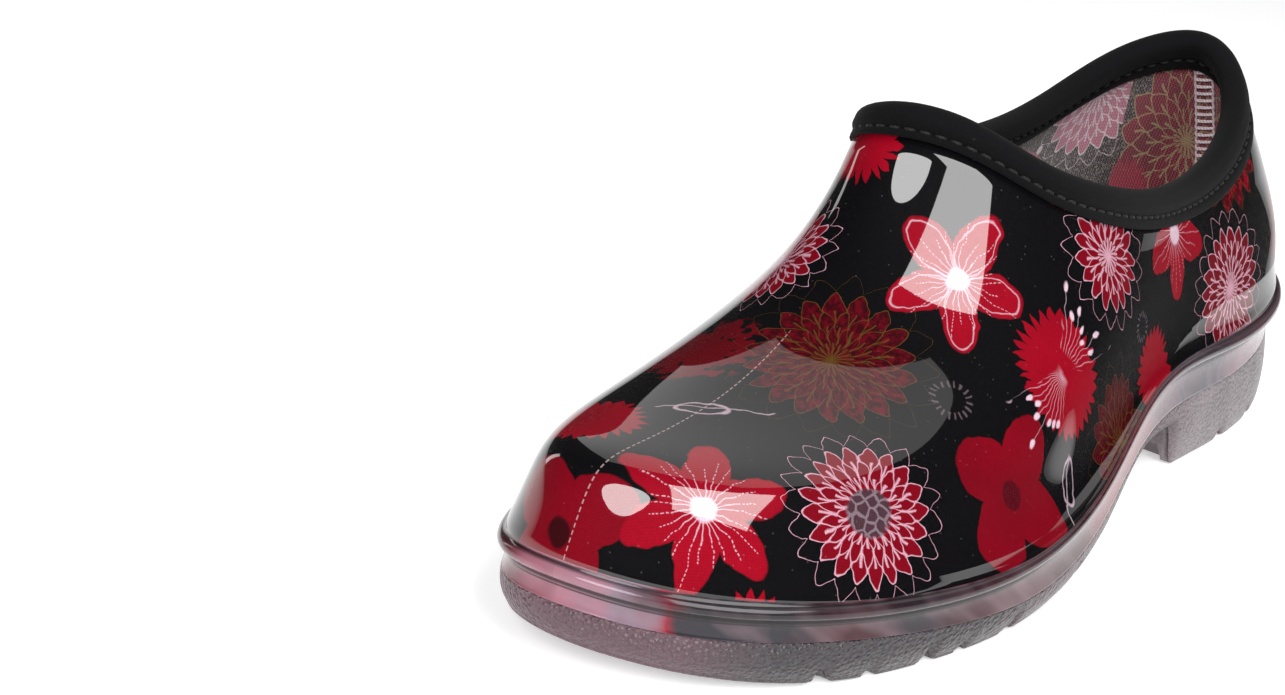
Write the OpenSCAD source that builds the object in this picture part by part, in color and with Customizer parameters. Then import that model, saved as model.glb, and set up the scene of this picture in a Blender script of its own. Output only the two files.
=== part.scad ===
// Slip-on garden clog, left shoe, standing on its tread.
// Toe towards -Y, heel towards +Y, outer side towards +X, +Z up.
// The shoe is laid out as a last maker does it: a bead line round the upper just
// above the sole, a topline round the mouth, and ribs that join the two. Every
// shell, skin and pad is taken from that one surface at its own depth.

/* [Upper] */
// Wall thickness of the clear moulded upper
shell_t = 2; // [1.6:0.1:2.4]
// Thickness of the printed knit lining
lining_t = 0.9; // [0.7:0.1:1.1]
// Width of the knit binding down the outside of the mouth
binding_w = 13; // [10:0.5:15]
// Radius of the rolled edge of the binding
roll_r = 2.4; // [2.2:0.1:2.8]

/* [Sole] */
// Depth of the tread grooves
groove_d = 3.5; // [2.5:0.25:4]
// Width of the tread grooves
groove_w = 6; // [4:0.5:8]
// Height of the arch under the waist
arch_h = 12; // [8:0.5:13]

/* [Inside] */
// Thickness of the board that closes the lining below
board_t = 1.6; // [1.2:0.1:2]
// Thickness of the foam of the loose footbed
foam_t = 4.5; // [3:0.25:5]
// Thickness of the mesh cloth on the footbed
mesh_t = 0.8; // [0.6:0.1:1]
// Distance from the footbed's edge to the rib line inside the shoe
footbed_gap = 3.5; // [3:0.25:6]

/* [Stitching] */
// Length of one stitch round the mouth
stitch_l = 3.4; // [2.5:0.1:3.8]
// Thickness of the sewing thread
thread_t = 0.7; // [0.5:0.1:0.9]

/* [Hidden] */

N = 88;          // stations round the shoe, counted from the toe tip round the outer side
H = N / 2;
glue = 0.15;     // play between bonded skins
seat = 0.7;      // play under the loose footbed

// Middle of the finished shoe, so that the frame stands in the middle of the tread
mid = [1.7, 0.5];

// Bead line: toe tip, outer side to the heel, inner side back to the toe
bead = [[-10, -139, 23.5], [12, -130, 21], [31, -110, 19], [45, -81, 17], [52, -51, 17.5],
        [49, -20, 21.5], [41, 11, 27], [36, 42, 30], [40, 76, 27.5], [37, 110, 28.5],
        [22, 134, 30.5], [0, 140, 31.5], [-22, 133, 31.5], [-36, 109, 30], [-38, 76, 29],
        [-32, 43, 32], [-30, 10, 33], [-41, -19, 23], [-48, -53, 17], [-47, -84, 15],
        [-39, -113, 16.5], [-28, -134, 20]];
// Topline: throat on the instep, outer side, heel tab, inner side
topline = [[-14, -29, 95], [3, -22, 94.5], [18, -8, 83], [24, 15, 76], [23.5, 45, 69],
           [21.5, 75, 69], [17.5, 104, 80], [-1, 122, 95], [-22, 106, 86], [-28, 79, 73],
           [-32, 48, 69], [-33.5, 18, 73], [-30, -7, 82], [-25, -22, 89.5]];
// Depth and set-back of the smooth band below the bead, at the same stations as the bead
rand_d = [7, 7, 7, 7.5, 9.5, 11, 11.5, 11, 10.5, 9.5, 9, 9, 9, 9, 9.5, 9.5, 9, 8.5, 7.5, 6.5, 6, 6.5];
rand_in = [0.5, 1, 1.5, 1.5, 0.5, 0, 0, 0.5, 1, 1.5, 1.5, 1.5, 1.5, 1.5, 1.5, 1.5, 1.5, 1.5, 1.5, 1.5, 1, 0.5];
// Set-back of the foot of the sole wall from the bead
foot_in = [2, 3, 3.5, 4, 3.5, 3, 2.5, 1.5, 0.5, 0, 0, 1, 2.5, 3.5, 4, 4.5, 4.5, 4.5, 4, 3.5, 2.5, 2];
// How each rib leaves the bead and reaches the topline, as parts of the way between
// them: at the toe, at the sides, at the heel
rib_plan = [[0.14, 0.52, 0.17], [-0.07, 0.28, -0.05], [0.88, 0.7, 0.37]];
rib_rise = [[0.53, -0.03, 0.3], [0.17, 0.54, 0.2], [0.14, 0.63, 0.54]];

function around(P, t) = let(n = len(P), s = t * n, i = floor(s), u = s - i)
    ((1 - u)^3 * P[(i - 1 + n) % n] + (3 * u^3 - 6 * u^2 + 4) * P[i % n]
     + (-3 * u^3 + 3 * u^2 + 3 * u + 1) * P[(i + 1) % n] + u^3 * P[(i + 2) % n]) / 6;
function xy(p) = [p[0], p[1]];
function unit(v) = v / norm(v);
function mix(a, b, s) = a + (b - a) * s;
function ends(toe, side, heel, t) = let(c = cos(360 * t))
    side + (toe - heel) / 2 * c + ((toe + heel) / 2 - side) * c * c;

// The rib at station t, as the five control points of a quartic
function bead_at(t) = around(bead, t) - [mid[0], mid[1], 0];
function top_at(t) = around(topline, t) - [mid[0], mid[1], 0];
function rib(t) = let(r = bead_at(t), q = top_at(t), d = q - r)
    concat([r],
           [for (k = [0:2]) let(f = ends(rib_plan[k][0], rib_plan[k][1], rib_plan[k][2], t),
                                g = ends(rib_rise[k][0], rib_rise[k][1], rib_rise[k][2], t))
                [r[0] + f * d[0], r[1] + f * d[1], r[2] + g * d[2]]],
           [q]);
RIB = [for (i = [0:N - 1]) rib(i / N)];
function on(i, v) = let(q = RIB[(i + N) % N], w = 1 - v)
    w^4 * q[0] + 4 * w^3 * v * q[1] + 6 * w^2 * v^2 * q[2] + 4 * w * v^3 * q[3] + v^4 * q[4];
function out_of(i, v) = let(e = v > 0.5 ? -0.01 : 0.01)
    unit(cross(on(i + 1, v) - on(i - 1, v), (on(i, v + e) - on(i, v)) / e));
// A point at depth d under the outer face
function deep(i, v, d) = on(i, v) - d * out_of(i, v);
// The rib parameter at a distance w below the topline
function below(i, w, v = 0.8, k = 5) = k == 0 ? v :
    below(i, w, 1 - (1 - v) * w / norm(on(i, v) - on(i, 1)), k - 1);

V_BAND = [for (i = [0:N - 1]) below(i, binding_w)];     // lower edge of the binding
V_ROLL = [for (i = [0:N - 1]) below(i, roll_r)];        // start of the rolled edge
V_IN = [for (i = [0:N - 1]) ends(0.13, 0.26, 0.12, i / N)];  // where the inside wall turns down

// Plan normal of the bead line, pointing out of the shoe
function plan_out(i) = let(d = RIB[(i + 1) % N][0] - RIB[(i + N - 1) % N][0]) unit([d[1], -d[0]]);
function bead_in(i, d, z) = let(r = RIB[i][0], o = plan_out(i)) [r[0] - d * o[0], r[1] - d * o[1], z];

// Lower edge of the band, where the sole begins
EDGE = [for (i = [0:N - 1]) bead_in(i, around(rand_in, i / N), RIB[i][0][2] - around(rand_d, i / N))];
// A ring inside the wall, dropped to the level of the sole's top and kept inside its edge
function out3(i) = [plan_out(i)[0], plan_out(i)[1], 0];
function turn(i, d) = deep(i, V_IN[i], shell_t) - (d - shell_t) * out3(i);
function drop(i, d, up) = let(o = out3(i), p = turn(i, d), q = EDGE[i] - (d + 1) * o,
        r = (p - q) * o > 0 ? p - ((p - q) * o) * o : p)
    [r[0], r[1], EDGE[i][2] + up];
// A point of the inside wall at depth d, s of the way up from its turn to the binding
function wall(i, s, d) = s == 0 ? turn(i, d) : deep(i, mix(V_IN[i], V_BAND[i], s), d);
SEAT = [for (i = [0:N - 1]) drop(i, shell_t, 0)];

// Height of the tread's underside along the shoe: toe spring, arch and heel
function ramp(a, b, y) = let(s = min(1, max(0, (y - a) / (b - a)))) s * s * (3 - 2 * s);
function spring(y) = y < -86 ? 8 * ((-86 - y) / 52)^2 : 0;
function arch(y) = arch_h * ramp(-8, 26, y) * (1 - ramp(45, 51, y));

// ---------- generic solids ----------
function tri_ok(f) = f[0] != f[1] && f[1] != f[2] && f[0] != f[2];
// Closed tube of rings: each ring has N points, and the last ring joins the first.
// lean turns the diagonals, so that skins that lie face to face fold the same way
module torus(rings, lean = false) {
    m = len(rings);
    pts = [for (r = rings) for (p = r) p];
    f = [for (j = [0:m - 1]) for (i = [0:N - 1])
            let(a = j * N + i, b = j * N + (i + 1) % N, c = ((j + 1) % m) * N + i,
                d = ((j + 1) % m) * N + (i + 1) % N)
            each lean ? [[a, c, d], [a, d, b]] : [[a, c, b], [b, c, d]]];
    polyhedron(pts, f, convexity = 10);
}
// Points of a web between the two sides of a ring; level is added to each height
LW = 8;
function web(ring, lift) = [for (i = [0:H]) for (j = [0:(i == 0 || i == H) ? 0 : LW])
    let(p = mix(ring[i], ring[(N - i) % N], j / LW)) [p[0], p[1], p[2] + lift(p)]];
function at(i, j) = i == 0 ? 0 : i == H ? 1 + (H - 1) * (LW + 1) : 1 + (i - 1) * (LW + 1) + j;
function rim(k) = k <= H ? at(k, 0) : at(N - k, LW);
NWEB = 2 + (H - 1) * (LW + 1);
function web_faces(o, up) = [for (i = [0:H - 1]) for (j = [0:LW - 1])
    let(a = at(i, i == 0 ? 0 : j) + o, b = at(i, i == 0 ? 0 : j + 1) + o,
        c = at(i + 1, i + 1 == H ? 0 : j) + o, d = at(i + 1, i + 1 == H ? 0 : j + 1) + o)
    for (f = up ? [[a, b, c], [b, d, c]] : [[a, c, b], [b, c, d]]) if (tri_ok(f)) f];
// Slab between a lower and an upper web, with rings between their rims
module slab(low, high, sides = []) {
    s = len(sides);
    pts = concat(low, high, [for (r = sides) for (p = r) p]);
    function ix(l, i) = l == 0 ? rim(i % N) : l == s + 1 ? NWEB + rim(i % N) : 2 * NWEB + (l - 1) * N + i % N;
    f = concat(web_faces(0, false), web_faces(NWEB, true),
        [for (l = [0:s]) for (i = [0:N - 1])
            let(a = ix(l, i), b = ix(l, i + 1), c = ix(l + 1, i), d = ix(l + 1, i + 1))
            each [[a, c, d], [a, d, b]]]);
    polyhedron(pts, f, convexity = 10);
}
// A short length of thread from a to b, lying on a face with normal o
module thread(a, b, o) {
    d = unit(b - a);
    s = unit(cross(d, o));
    n = cross(s, d);
    multmatrix([[d[0], s[0], n[0], a[0]], [d[1], s[1], n[1], a[1]], [d[2], s[2], n[2], a[2]]])
        translate([0, -thread_t / 2, 0.15]) cube([norm(b - a), thread_t, thread_t]);
}

// ---------- sole ----------
// Sole core: the walls and the ground between the tread blocks
FOOT = [for (i = [0:N - 1]) let(p = bead_in(i, around(foot_in, i / N), 0))
    [p[0], p[1], groove_d + spring(p[1]) + arch(p[1])]];
SOLE_MID = [for (i = [0:N - 1]) let(a = EDGE[i], b = FOOT[i]) mix(a, b, 0.5) + [0.4 * plan_out(i)[0], 0.4 * plan_out(i)[1], 0]];
module sole_core() {
    z0 = function(p) 0;
    slab(web(FOOT, function(p) groove_d + spring(p[1]) + arch(p[1]) - p[2]), web(SEAT, z0),
         [SOLE_MID, EDGE]);
}
// Outline of the tread, a little inside the wall, between two stations in Y
function tread_line(y0, y1, inset) = [for (i = [0:N - 1]) let(p = bead_in(i, around(foot_in, i / N) + inset, 0))
    if (p[1] > y0 && p[1] < y1) [p[0], p[1]]];
module groove(y, a = 0, w = groove_w) translate([0, y]) rotate(a) square([130, w], center = true);
module forefoot_tread() {
    linear_extrude(height = groove_d + 1) difference() {
        polygon(tread_line(-88, 2, 0.8));
        for (k = [0:4]) groove(-78 + 18 * k, k % 2 == 0 ? 8 : -8, groove_w);
        for (s = [-1, 1]) translate([s * 13, -43]) rotate(s * 4) square([3, 84], center = true);
    }
}
// Toe blocks follow the toe spring
module toe_tread() {
    for (k = [0:2]) let(y = -97 - 13 * k, w = [62, 48, 28][k], x = [-4.5, -6.5, -10][k], z = spring(y))
        translate([x, y, z]) rotate([-[3, 8, 13][k], 0, 0]) translate([-w / 2, -4, 0]) cube([w, 8, groove_d + 1.2]);
}
module heel_tread() {
    linear_extrude(height = groove_d + 1) difference() {
        polygon(tread_line(53, 140, 0.8));
        for (k = [0:2]) groove(72 + 19 * k, 0, groove_w);
        translate([0, 95]) square([groove_w, 64], center = true);
    }
}
module outsole() color([0.62, 0.55, 0.57, 0.75]) {
    sole_core();
    forefoot_tread();
    toe_tread();
    heel_tread();
}

// ---------- upper ----------
SHELL_S = [0.07, 0.14, 0.22, 0.31, 0.41, 0.52, 0.64, 0.76, 0.88, 1];
IN_S = [0, 0.12, 0.25, 0.4, 0.55, 0.7, 0.85, 1];
module upper_shell() color([0.75, 0.06, 0.12, 0.9])
    torus(concat(
        [[for (i = [0:N - 1]) EDGE[i] + [0, 0, glue]]],
        [[for (i = [0:N - 1]) let(p = mix(EDGE[i], RIB[i][0], 0.55)) [p[0], p[1], p[2]]]],
        [[for (i = [0:N - 1]) bead_in(i, 0.7, RIB[i][0][2] - 2)]],
        [[for (i = [0:N - 1]) RIB[i][0]]],
        [for (s = SHELL_S) [for (i = [0:N - 1]) on(i, s * V_BAND[i])]],
        [for (k = [len(IN_S) - 1:-1:0]) [for (i = [0:N - 1]) wall(i, IN_S[k], shell_t)]],
        [[for (i = [0:N - 1]) drop(i, shell_t, glue)]]));

// Printed knit sock bonded inside the shell and up into the binding
module lining() color([0.55, 0.2, 0.25])
    let(d0 = shell_t + glue, d1 = shell_t + glue + lining_t)
    torus(concat(
        [[for (i = [0:N - 1]) drop(i, d0, 1.5 * glue)]],
        [for (s = IN_S) [for (i = [0:N - 1]) wall(i, s, d0)]],
        [for (s = [0.35, 0.7, 0.95]) [for (i = [0:N - 1]) deep(i, mix(V_BAND[i], V_ROLL[i], s), d0)]],
        [for (s = [0.95, 0.7, 0.35]) [for (i = [0:N - 1]) deep(i, mix(V_BAND[i], V_ROLL[i], s), d1)]],
        [for (k = [len(IN_S) - 1:-1:0]) [for (i = [0:N - 1]) wall(i, IN_S[k], d1)]],
        [[for (i = [0:N - 1]) drop(i, d1, 1.5 * glue)]]), true);

// Knit binding folded over the lining's top edge, with a rolled rim
function roll(i, a) = let(v = V_ROLL[i], n = out_of(i, v), u = unit(on(i, v + 0.005) - on(i, v)))
    on(i, v) + roll_r * ((cos(a) - 1) * n + sin(a) * u);
module topline_binding() color([0.06, 0.06, 0.07])
    let(c0 = shell_t - glue, c1 = shell_t + lining_t + 3 * glue, e = 0.02)
    torus(concat(
        [for (s = [e, 0.35, 0.7, 1]) [for (i = [0:N - 1]) on(i, mix(V_BAND[i], V_ROLL[i], s))]],
        [for (a = [30:30:150]) [for (i = [0:N - 1]) roll(i, a)]],
        [for (s = [1, 0.7, 0.35, e]) [for (i = [0:N - 1]) deep(i, mix(V_BAND[i], V_ROLL[i], s), 2 * roll_r)]],
        [for (s = [e, 0.35, 0.7, 1]) [for (i = [0:N - 1]) deep(i, mix(V_BAND[i], V_ROLL[i], s), c1)]],
        [for (s = [1, 0.7, 0.35, e]) [for (i = [0:N - 1]) deep(i, mix(V_BAND[i], V_ROLL[i], s), c0)]]));

// One row of stitches round the binding, a third of the way up it
module binding_stitching() color([0.02, 0.02, 0.02])
    for (i = [0:N - 1]) let(s = 0.36,
            a = on(i, mix(V_BAND[i], V_ROLL[i], s)), b = on(i + 1, mix(V_BAND[(i + 1) % N], V_ROLL[(i + 1) % N], s)),
            l = norm(b - a), k = min(0.8, stitch_l / l))
        thread(mix(a, b, 0.5 - k / 2), mix(a, b, 0.5 + k / 2), out_of(i, 0.9) + out_of(i + 1, 0.9));

// Overlocked seam up the back of the lining
module back_seam_stitching() color([0.9, 0.86, 0.86])
    let(d = shell_t + glue + lining_t, n = 14)
    for (k = [0:n - 1]) let(v = mix(V_IN[H] + 0.05, V_BAND[H] - 0.03, k / (n - 1)), w = mix(V_IN[H] + 0.05, V_BAND[H] - 0.03, (k + 1) / (n - 1)),
            o = -1 * out_of(H, v), a = deep(H, v, d) + [-2.6, 0, 0] + 1.1 * o, b = deep(H, v, d) + [2.6, 0, 1.6] + 1.1 * o)
        thread(a, b, o);

// Flat seam across the inside of the toe
module toe_seam_stitching() color([0.12, 0.1, 0.1])
    let(d = shell_t + glue + lining_t, v = 0.5)
    for (i = [-7:6]) let(a = deep(i, v, d), b = deep(i + 1, v, d), o = -1 * out_of(i, v))
        thread(mix(a, b, 0.2) + 0.35 * o, mix(a, b, 0.8) + 0.35 * o, o);

// ---------- inside ----------
BOARD = [for (i = [0:N - 1]) drop(i, shell_t + 3 * glue + lining_t, 2 * glue)];
module insole_board() color([0.8, 0.77, 0.72])
    slab(web(BOARD, function(p) 0), web(BOARD, function(p) board_t), []);
// Stitches that join the lining's lower edge to the board
module board_stitching() color([0.85, 0.82, 0.8])
    for (i = [0:2:N - 1]) let(a = BOARD[i], b = BOARD[(i + 1) % N], c = (a + b) / 2, o = [plan_out(i)[0], plan_out(i)[1], 0])
        thread(c - 2.6 * o + [0, 0, board_t + glue], c - 0.8 * o + [0, 0, board_t + glue], [0, 0, 1]);

// Loose footbed: foam with a mesh cloth on it, both inside the narrowest rib line
function most_in(i, P, k = 0, best = undef) = k == len(P) ? best :
    most_in(i, P, k + 1, best == undef || (P[k] - best) * out3(i) < 0 ? P[k] : best);
function board_z(i, p) = let(a = BOARD[i], b = BOARD[(N - i) % N], w = norm(xy(a - b)))
    mix(a[2], b[2], w < 20 ? 0 : min(0.5, norm(xy(p - a)) / w)) + board_t;
function bed_in(i) = let(d = shell_t + lining_t + 2 * glue,
        p = most_in(i, [drop(i, d, 0), turn(i, d), deep(i, ends(0.14, 0.42, 0.42, i / N), d)]) - footbed_gap * out3(i))
    [p[0], p[1], board_z(i, p) + seat];
BED = [for (i = [0:N - 1]) bed_in(i)];
module footbed_foam() color([0.1, 0.1, 0.11])
    slab(web(BED, function(p) 0), web(BED, function(p) foam_t), []);
module footbed_mesh_cover() color([0.05, 0.05, 0.05])
    slab(web(BED, function(p) foam_t + glue), web(BED, function(p) foam_t + glue + mesh_t), []);

outsole();
upper_shell();
lining();
topline_binding();
binding_stitching();
back_seam_stitching();
toe_seam_stitching();
insole_board();
board_stitching();
footbed_foam();
footbed_mesh_cover();
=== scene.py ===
"""Rubber garden clog: the looks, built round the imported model. Units in the mesh code are millimetres."""
import bpy
import math
import numpy as np
from mathutils import Matrix, Vector


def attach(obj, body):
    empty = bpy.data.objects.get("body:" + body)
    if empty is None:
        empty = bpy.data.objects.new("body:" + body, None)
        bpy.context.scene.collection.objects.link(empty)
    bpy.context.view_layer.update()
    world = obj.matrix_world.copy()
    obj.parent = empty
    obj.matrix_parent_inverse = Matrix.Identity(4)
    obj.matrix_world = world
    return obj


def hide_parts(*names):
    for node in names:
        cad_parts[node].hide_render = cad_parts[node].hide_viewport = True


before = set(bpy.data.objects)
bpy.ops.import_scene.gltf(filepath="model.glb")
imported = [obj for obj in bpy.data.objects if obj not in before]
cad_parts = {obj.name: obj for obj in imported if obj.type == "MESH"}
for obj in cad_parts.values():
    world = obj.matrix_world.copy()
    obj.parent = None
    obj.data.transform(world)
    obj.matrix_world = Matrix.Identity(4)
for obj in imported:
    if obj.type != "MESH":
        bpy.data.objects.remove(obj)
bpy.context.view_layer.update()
scene = bpy.context.scene

# ---------------------------------------------------------------- shape of the clog
# The same lines as the CAD model: toe at -Y, outer side at +X. Stations t run 0..1 from the
# toe tip round the outer side, the heel and the inner side; v runs 0..1 from the bead to the topline.
MID = (1.7, 0.5)
BEAD = [(-10,-139,23.5),(12,-130,21),(31,-110,19),(45,-81,17),(52,-51,17.5),(49,-20,21.5),(41,11,27),(36,42,30),
        (40,76,27.5),(37,110,28.5),(22,134,30.5),(0,140,31.5),(-22,133,31.5),(-36,109,30),(-38,76,29),(-32,43,32),
        (-30,10,33),(-41,-19,23),(-48,-53,17),(-47,-84,15),(-39,-113,16.5),(-28,-134,20)]
TOP = [(-14,-29,95),(3,-22,94.5),(18,-8,83),(24,15,76),(23.5,45,69),(21.5,75,69),(17.5,104,80),(-1,122,95),
       (-22,106,86),(-28,79,73),(-32,48,69),(-33.5,18,73),(-30,-7,82),(-25,-22,89.5)]
RAND_D = [7,7,7,7.5,9.5,11,11.5,11,10.5,9.5,9,9,9,9,9.5,9.5,9,8.5,7.5,6.5,6,6.5]
RAND_IN = [0.5,1,1.5,1.5,0.5,0,0,0.5,1,1.5,1.5,1.5,1.5,1.5,1.5,1.5,1.5,1.5,1.5,1.5,1,0.5]
FOOT_IN = [2,3,3.5,4,3.5,3,2.5,1.5,0.5,0,0,1,2.5,3.5,4,4.5,4.5,4.5,4,3.5,2.5,2]
PLAN = [(0.14,0.52,0.17),(-0.07,0.28,-0.05),(0.88,0.7,0.37)]
RISE = [(0.53,-0.03,0.3),(0.17,0.54,0.2),(0.14,0.63,0.54)]
SHELL_T, LINING_T, BINDING_W, ROLL_R, GROOVE_D, GROOVE_W, ARCH_H, GLUE = 2.0, 0.9, 10.2, 2.4, 3.5, 6.0, 12.0, 0.15
BOARD_T, FOAM_T, MESH_T, GAP, SEAT_UP = 1.6, 4.5, 0.8, 3.5, 0.7


def unit(a):
    return a / np.maximum(np.linalg.norm(a, axis=-1, keepdims=True), 1e-12)


def around(P, t):
    P = np.asarray(P, float); n = len(P); s = np.asarray(t, float) * n
    i = np.floor(s).astype(int); u = s - i
    if P.ndim > 1: u = u[..., None]
    return ((1-u)**3*P[(i-1)%n] + (3*u**3-6*u**2+4)*P[i%n] + (-3*u**3+3*u**2+3*u+1)*P[(i+1)%n] + u**3*P[(i+2)%n]) / 6


def ends(toe, side, heel, t):
    k = np.cos(2*np.pi*np.asarray(t))
    return side + (toe-heel)/2*k + ((toe+heel)/2-side)*k*k


def ribs(t):
    t = np.asarray(t, float); shift = np.array([MID[0], MID[1], 0.0])
    r = around(BEAD, t) - shift; q = around(TOP, t) - shift; d = q - r
    out = [r]
    for k in range(3):
        f = ends(*PLAN[k], t); g = ends(*RISE[k], t)
        out.append(np.stack([r[..., 0]+f*d[..., 0], r[..., 1]+f*d[..., 1], r[..., 2]+g*d[..., 2]], -1))
    return out + [q]


def on(t, v):
    Q = ribs(t); v = np.asarray(v, float)[..., None]; w = 1 - v
    return w**4*Q[0] + 4*w**3*v*Q[1] + 6*w*w*v*v*Q[2] + 4*w*v**3*Q[3] + v**4*Q[4]


def out_of(t, v):
    e = 1/88.0; h = np.where(np.asarray(v) > .5, -.01, .01)
    return unit(np.cross(on(t+e, v) - on(t-e, v), (on(t, v+h) - on(t, v)) / h[..., None]))


def deep(t, v, d):
    return on(t, v) - np.asarray(d, float)[..., None]*out_of(t, v)


def below(t, w, k=8):
    w = np.zeros(np.shape(t)) + w; v = np.full(np.shape(t), 0.8); top = on(t, np.ones(np.shape(t)))
    for _ in range(k): v = 1 - (1-v)*w/np.linalg.norm(on(t, v)-top, axis=-1)
    return v


def lap(t):
    """Width of the binding's outer lap: narrow over the instep, wider round the heel."""
    q = np.mod(t, 1.0); q = np.clip((np.minimum(q, 1-q)-0.10)/0.20, 0, 1)
    return BINDING_W-2.9+2.9*q*q*(3-2*q)


def bead(t): return on(t, np.zeros(np.shape(t)))


def plan_out(t):
    d = bead(t+1/88.0) - bead(t-1/88.0)
    return unit(np.stack([d[..., 1], -d[..., 0], np.zeros(np.shape(t))], -1))


def edge(t):
    r = bead(t); p = r - np.asarray(around(RAND_IN, t))[..., None]*plan_out(t); p[..., 2] = r[..., 2] - around(RAND_D, t)
    return p


def v_in(t): return ends(0.13, 0.26, 0.12, t)
def turn(t, d): return deep(t, v_in(t), SHELL_T) - (d-SHELL_T)*plan_out(t)


def drop(t, d, up):
    o = plan_out(t); p = turn(t, d); E = edge(t); q = E - (d+1)*o
    k = np.maximum(((p-q)*o).sum(-1), 0)[..., None]
    p = p - k*o; p[..., 2] = E[..., 2] + up
    return p


def wall(t, s, d):
    if s == 0: return turn(t, d)
    return deep(t, v_in(t) + (below(t, lap(t))-v_in(t))*s, d)


def ramp(a, b, y):
    s = np.clip((y-a)/(b-a), 0, 1)
    return s*s*(3-2*s)


def spring(y): return np.where(y < -86, 8*((-86-y)/52)**2, 0.0)
def arch(y): return ARCH_H*ramp(-8, 26, y)*(1-ramp(45, 51, y))


def flatten(NT=89, NV=17, iters=60):
    """The upper cut open at the heel and laid flat with as little stretch as possible: where the cloth's print lies."""
    tt = 0.5 + np.arange(NT)/(NT-1); tt = tt[:, None] + np.zeros(NV); vv = np.linspace(0.02, 1, NV)[None, :] + np.zeros((NT, 1))
    e = 1/352.0
    P = on(tt % 1.0, vv); idx = np.arange(NT*NV).reshape(NT, NV)
    a = idx[:-1, :-1].ravel(); b = idx[1:, :-1].ravel(); c = idx[:-1, 1:].ravel(); d = idx[1:, 1:].ravel()
    T = np.concatenate([np.stack([a,b,c],1), np.stack([b,d,c],1), np.stack([a,b,d],1), np.stack([a,d,c],1)])
    X = P.reshape(-1, 3); e1 = X[T[:,1]]-X[T[:,0]]; e2 = X[T[:,2]]-X[T[:,0]]
    x = unit(e1); n = unit(np.cross(e1, e2)); y = np.cross(n, x)
    L = np.zeros((len(T), 3, 2)); L[:,1,0] = np.linalg.norm(e1, axis=1); L[:,2,0] = (e2*x).sum(1); L[:,2,1] = (e2*y).sum(1)
    def cot(u, w): return (u*w).sum(-1)/np.maximum(np.abs(u[...,0]*w[...,1]-u[...,1]*w[...,0]), 1e-9)
    W = np.zeros((len(T), 3))
    for k in range(3):
        i, j, l = k, (k+1) % 3, (k+2) % 3
        W[:, l] = np.clip(cot(L[:,i]-L[:,l], L[:,j]-L[:,l]), 0.02, 20)*0.5
    m = len(X); A = np.zeros((m, m))
    for k in range(3):
        i, j, w = T[:,k], T[:,(k+1) % 3], W[:,(k+2) % 3]
        np.add.at(A, (i,j), -w); np.add.at(A, (j,i), -w); np.add.at(A, (i,i), w); np.add.at(A, (j,j), w)
    A[0,0] += 1e-3
    s = np.concatenate([np.zeros((NT,1)), np.cumsum(np.linalg.norm(np.diff(P,axis=1),axis=2),1)], 1); s = s[:,-1:]-s
    ang = np.linspace(-0.5, 0.5, NT)*1.5*np.pi; dirx = np.stack([np.sin(ang), -np.cos(ang)], -1)
    cx = np.mean(P[:,-1,0]); R0 = np.stack([cx+30*np.sin(ang), 20-60*np.cos(ang)], -1)
    U = (R0[:,None,:]+s[...,None]*dirx[:,None,:]).reshape(-1, 2); Ai = np.linalg.inv(A)
    for _ in range(iters):
        S = np.zeros((len(T), 2, 2))
        for k in range(3):
            i, j, l = k, (k+1) % 3, (k+2) % 3
            u = U[T[:,i]]-U[T[:,j]]; q = L[:,i]-L[:,j]; S += W[:,l][:,None,None]*u[:,:,None]*q[:,None,:]
        ca = S[:,0,0]+S[:,1,1]; sa = S[:,1,0]-S[:,0,1]; r = np.hypot(ca, sa)+1e-12; ca /= r; sa /= r
        Rm = np.stack([np.stack([ca,-sa],-1), np.stack([sa,ca],-1)], 1); B = np.zeros((m, 2))
        for k in range(3):
            i, j, l = k, (k+1) % 3, (k+2) % 3
            q = np.einsum('nab,nb->na', Rm, L[:,i]-L[:,j])*W[:,l][:,None]
            np.add.at(B, T[:,i], q); np.add.at(B, T[:,j], -q)
        B[0] += 1e-3*U[0]; U = Ai@B
    U = U.reshape(NT, NV, 2); h = NT//2; c0 = U[h,-1]; dv = U[h,0]-c0; an = np.arctan2(dv[0], -dv[1])
    R = np.array([[np.cos(-an), -np.sin(-an)], [np.sin(-an), np.cos(-an)]])
    return (U-c0)@R.T


FLAT = flatten()


def print_at(tau, v):
    """Flat cloth position in mm; tau runs 0.5..1.5 from the heel cut."""
    nt, nv = FLAT.shape[:2]
    s = (tau-0.5)*(nt-1); i = np.clip(np.floor(s).astype(int), 0, nt-2); a = (s-i)[..., None]
    r = (v-0.02)/0.98*(nv-1); j = np.clip(np.floor(r).astype(int), 0, nv-2); b = (r-j)[..., None]
    return (1-a)*(1-b)*FLAT[i,j]+a*(1-b)*FLAT[i+1,j]+(1-a)*b*FLAT[i,j+1]+a*b*FLAT[i+1,j+1]


# ---------------------------------------------------------------- mesh helpers
def mesh_object(name, verts, faces, mats, face_mat=None, smooth=True):
    me = bpy.data.meshes.new(name)
    me.from_pydata((np.asarray(verts, float)*0.001).tolist(), [], [tuple(int(q) for q in f) for f in faces])
    me.validate(); me.update()
    ob = bpy.data.objects.new(name, me); scene.collection.objects.link(ob)
    for m in mats: me.materials.append(m)
    if face_mat is not None: me.polygons.foreach_set("material_index", np.asarray(face_mat, np.int32))
    me.polygons.foreach_set("use_smooth", [smooth]*len(me.polygons))
    return ob


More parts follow.
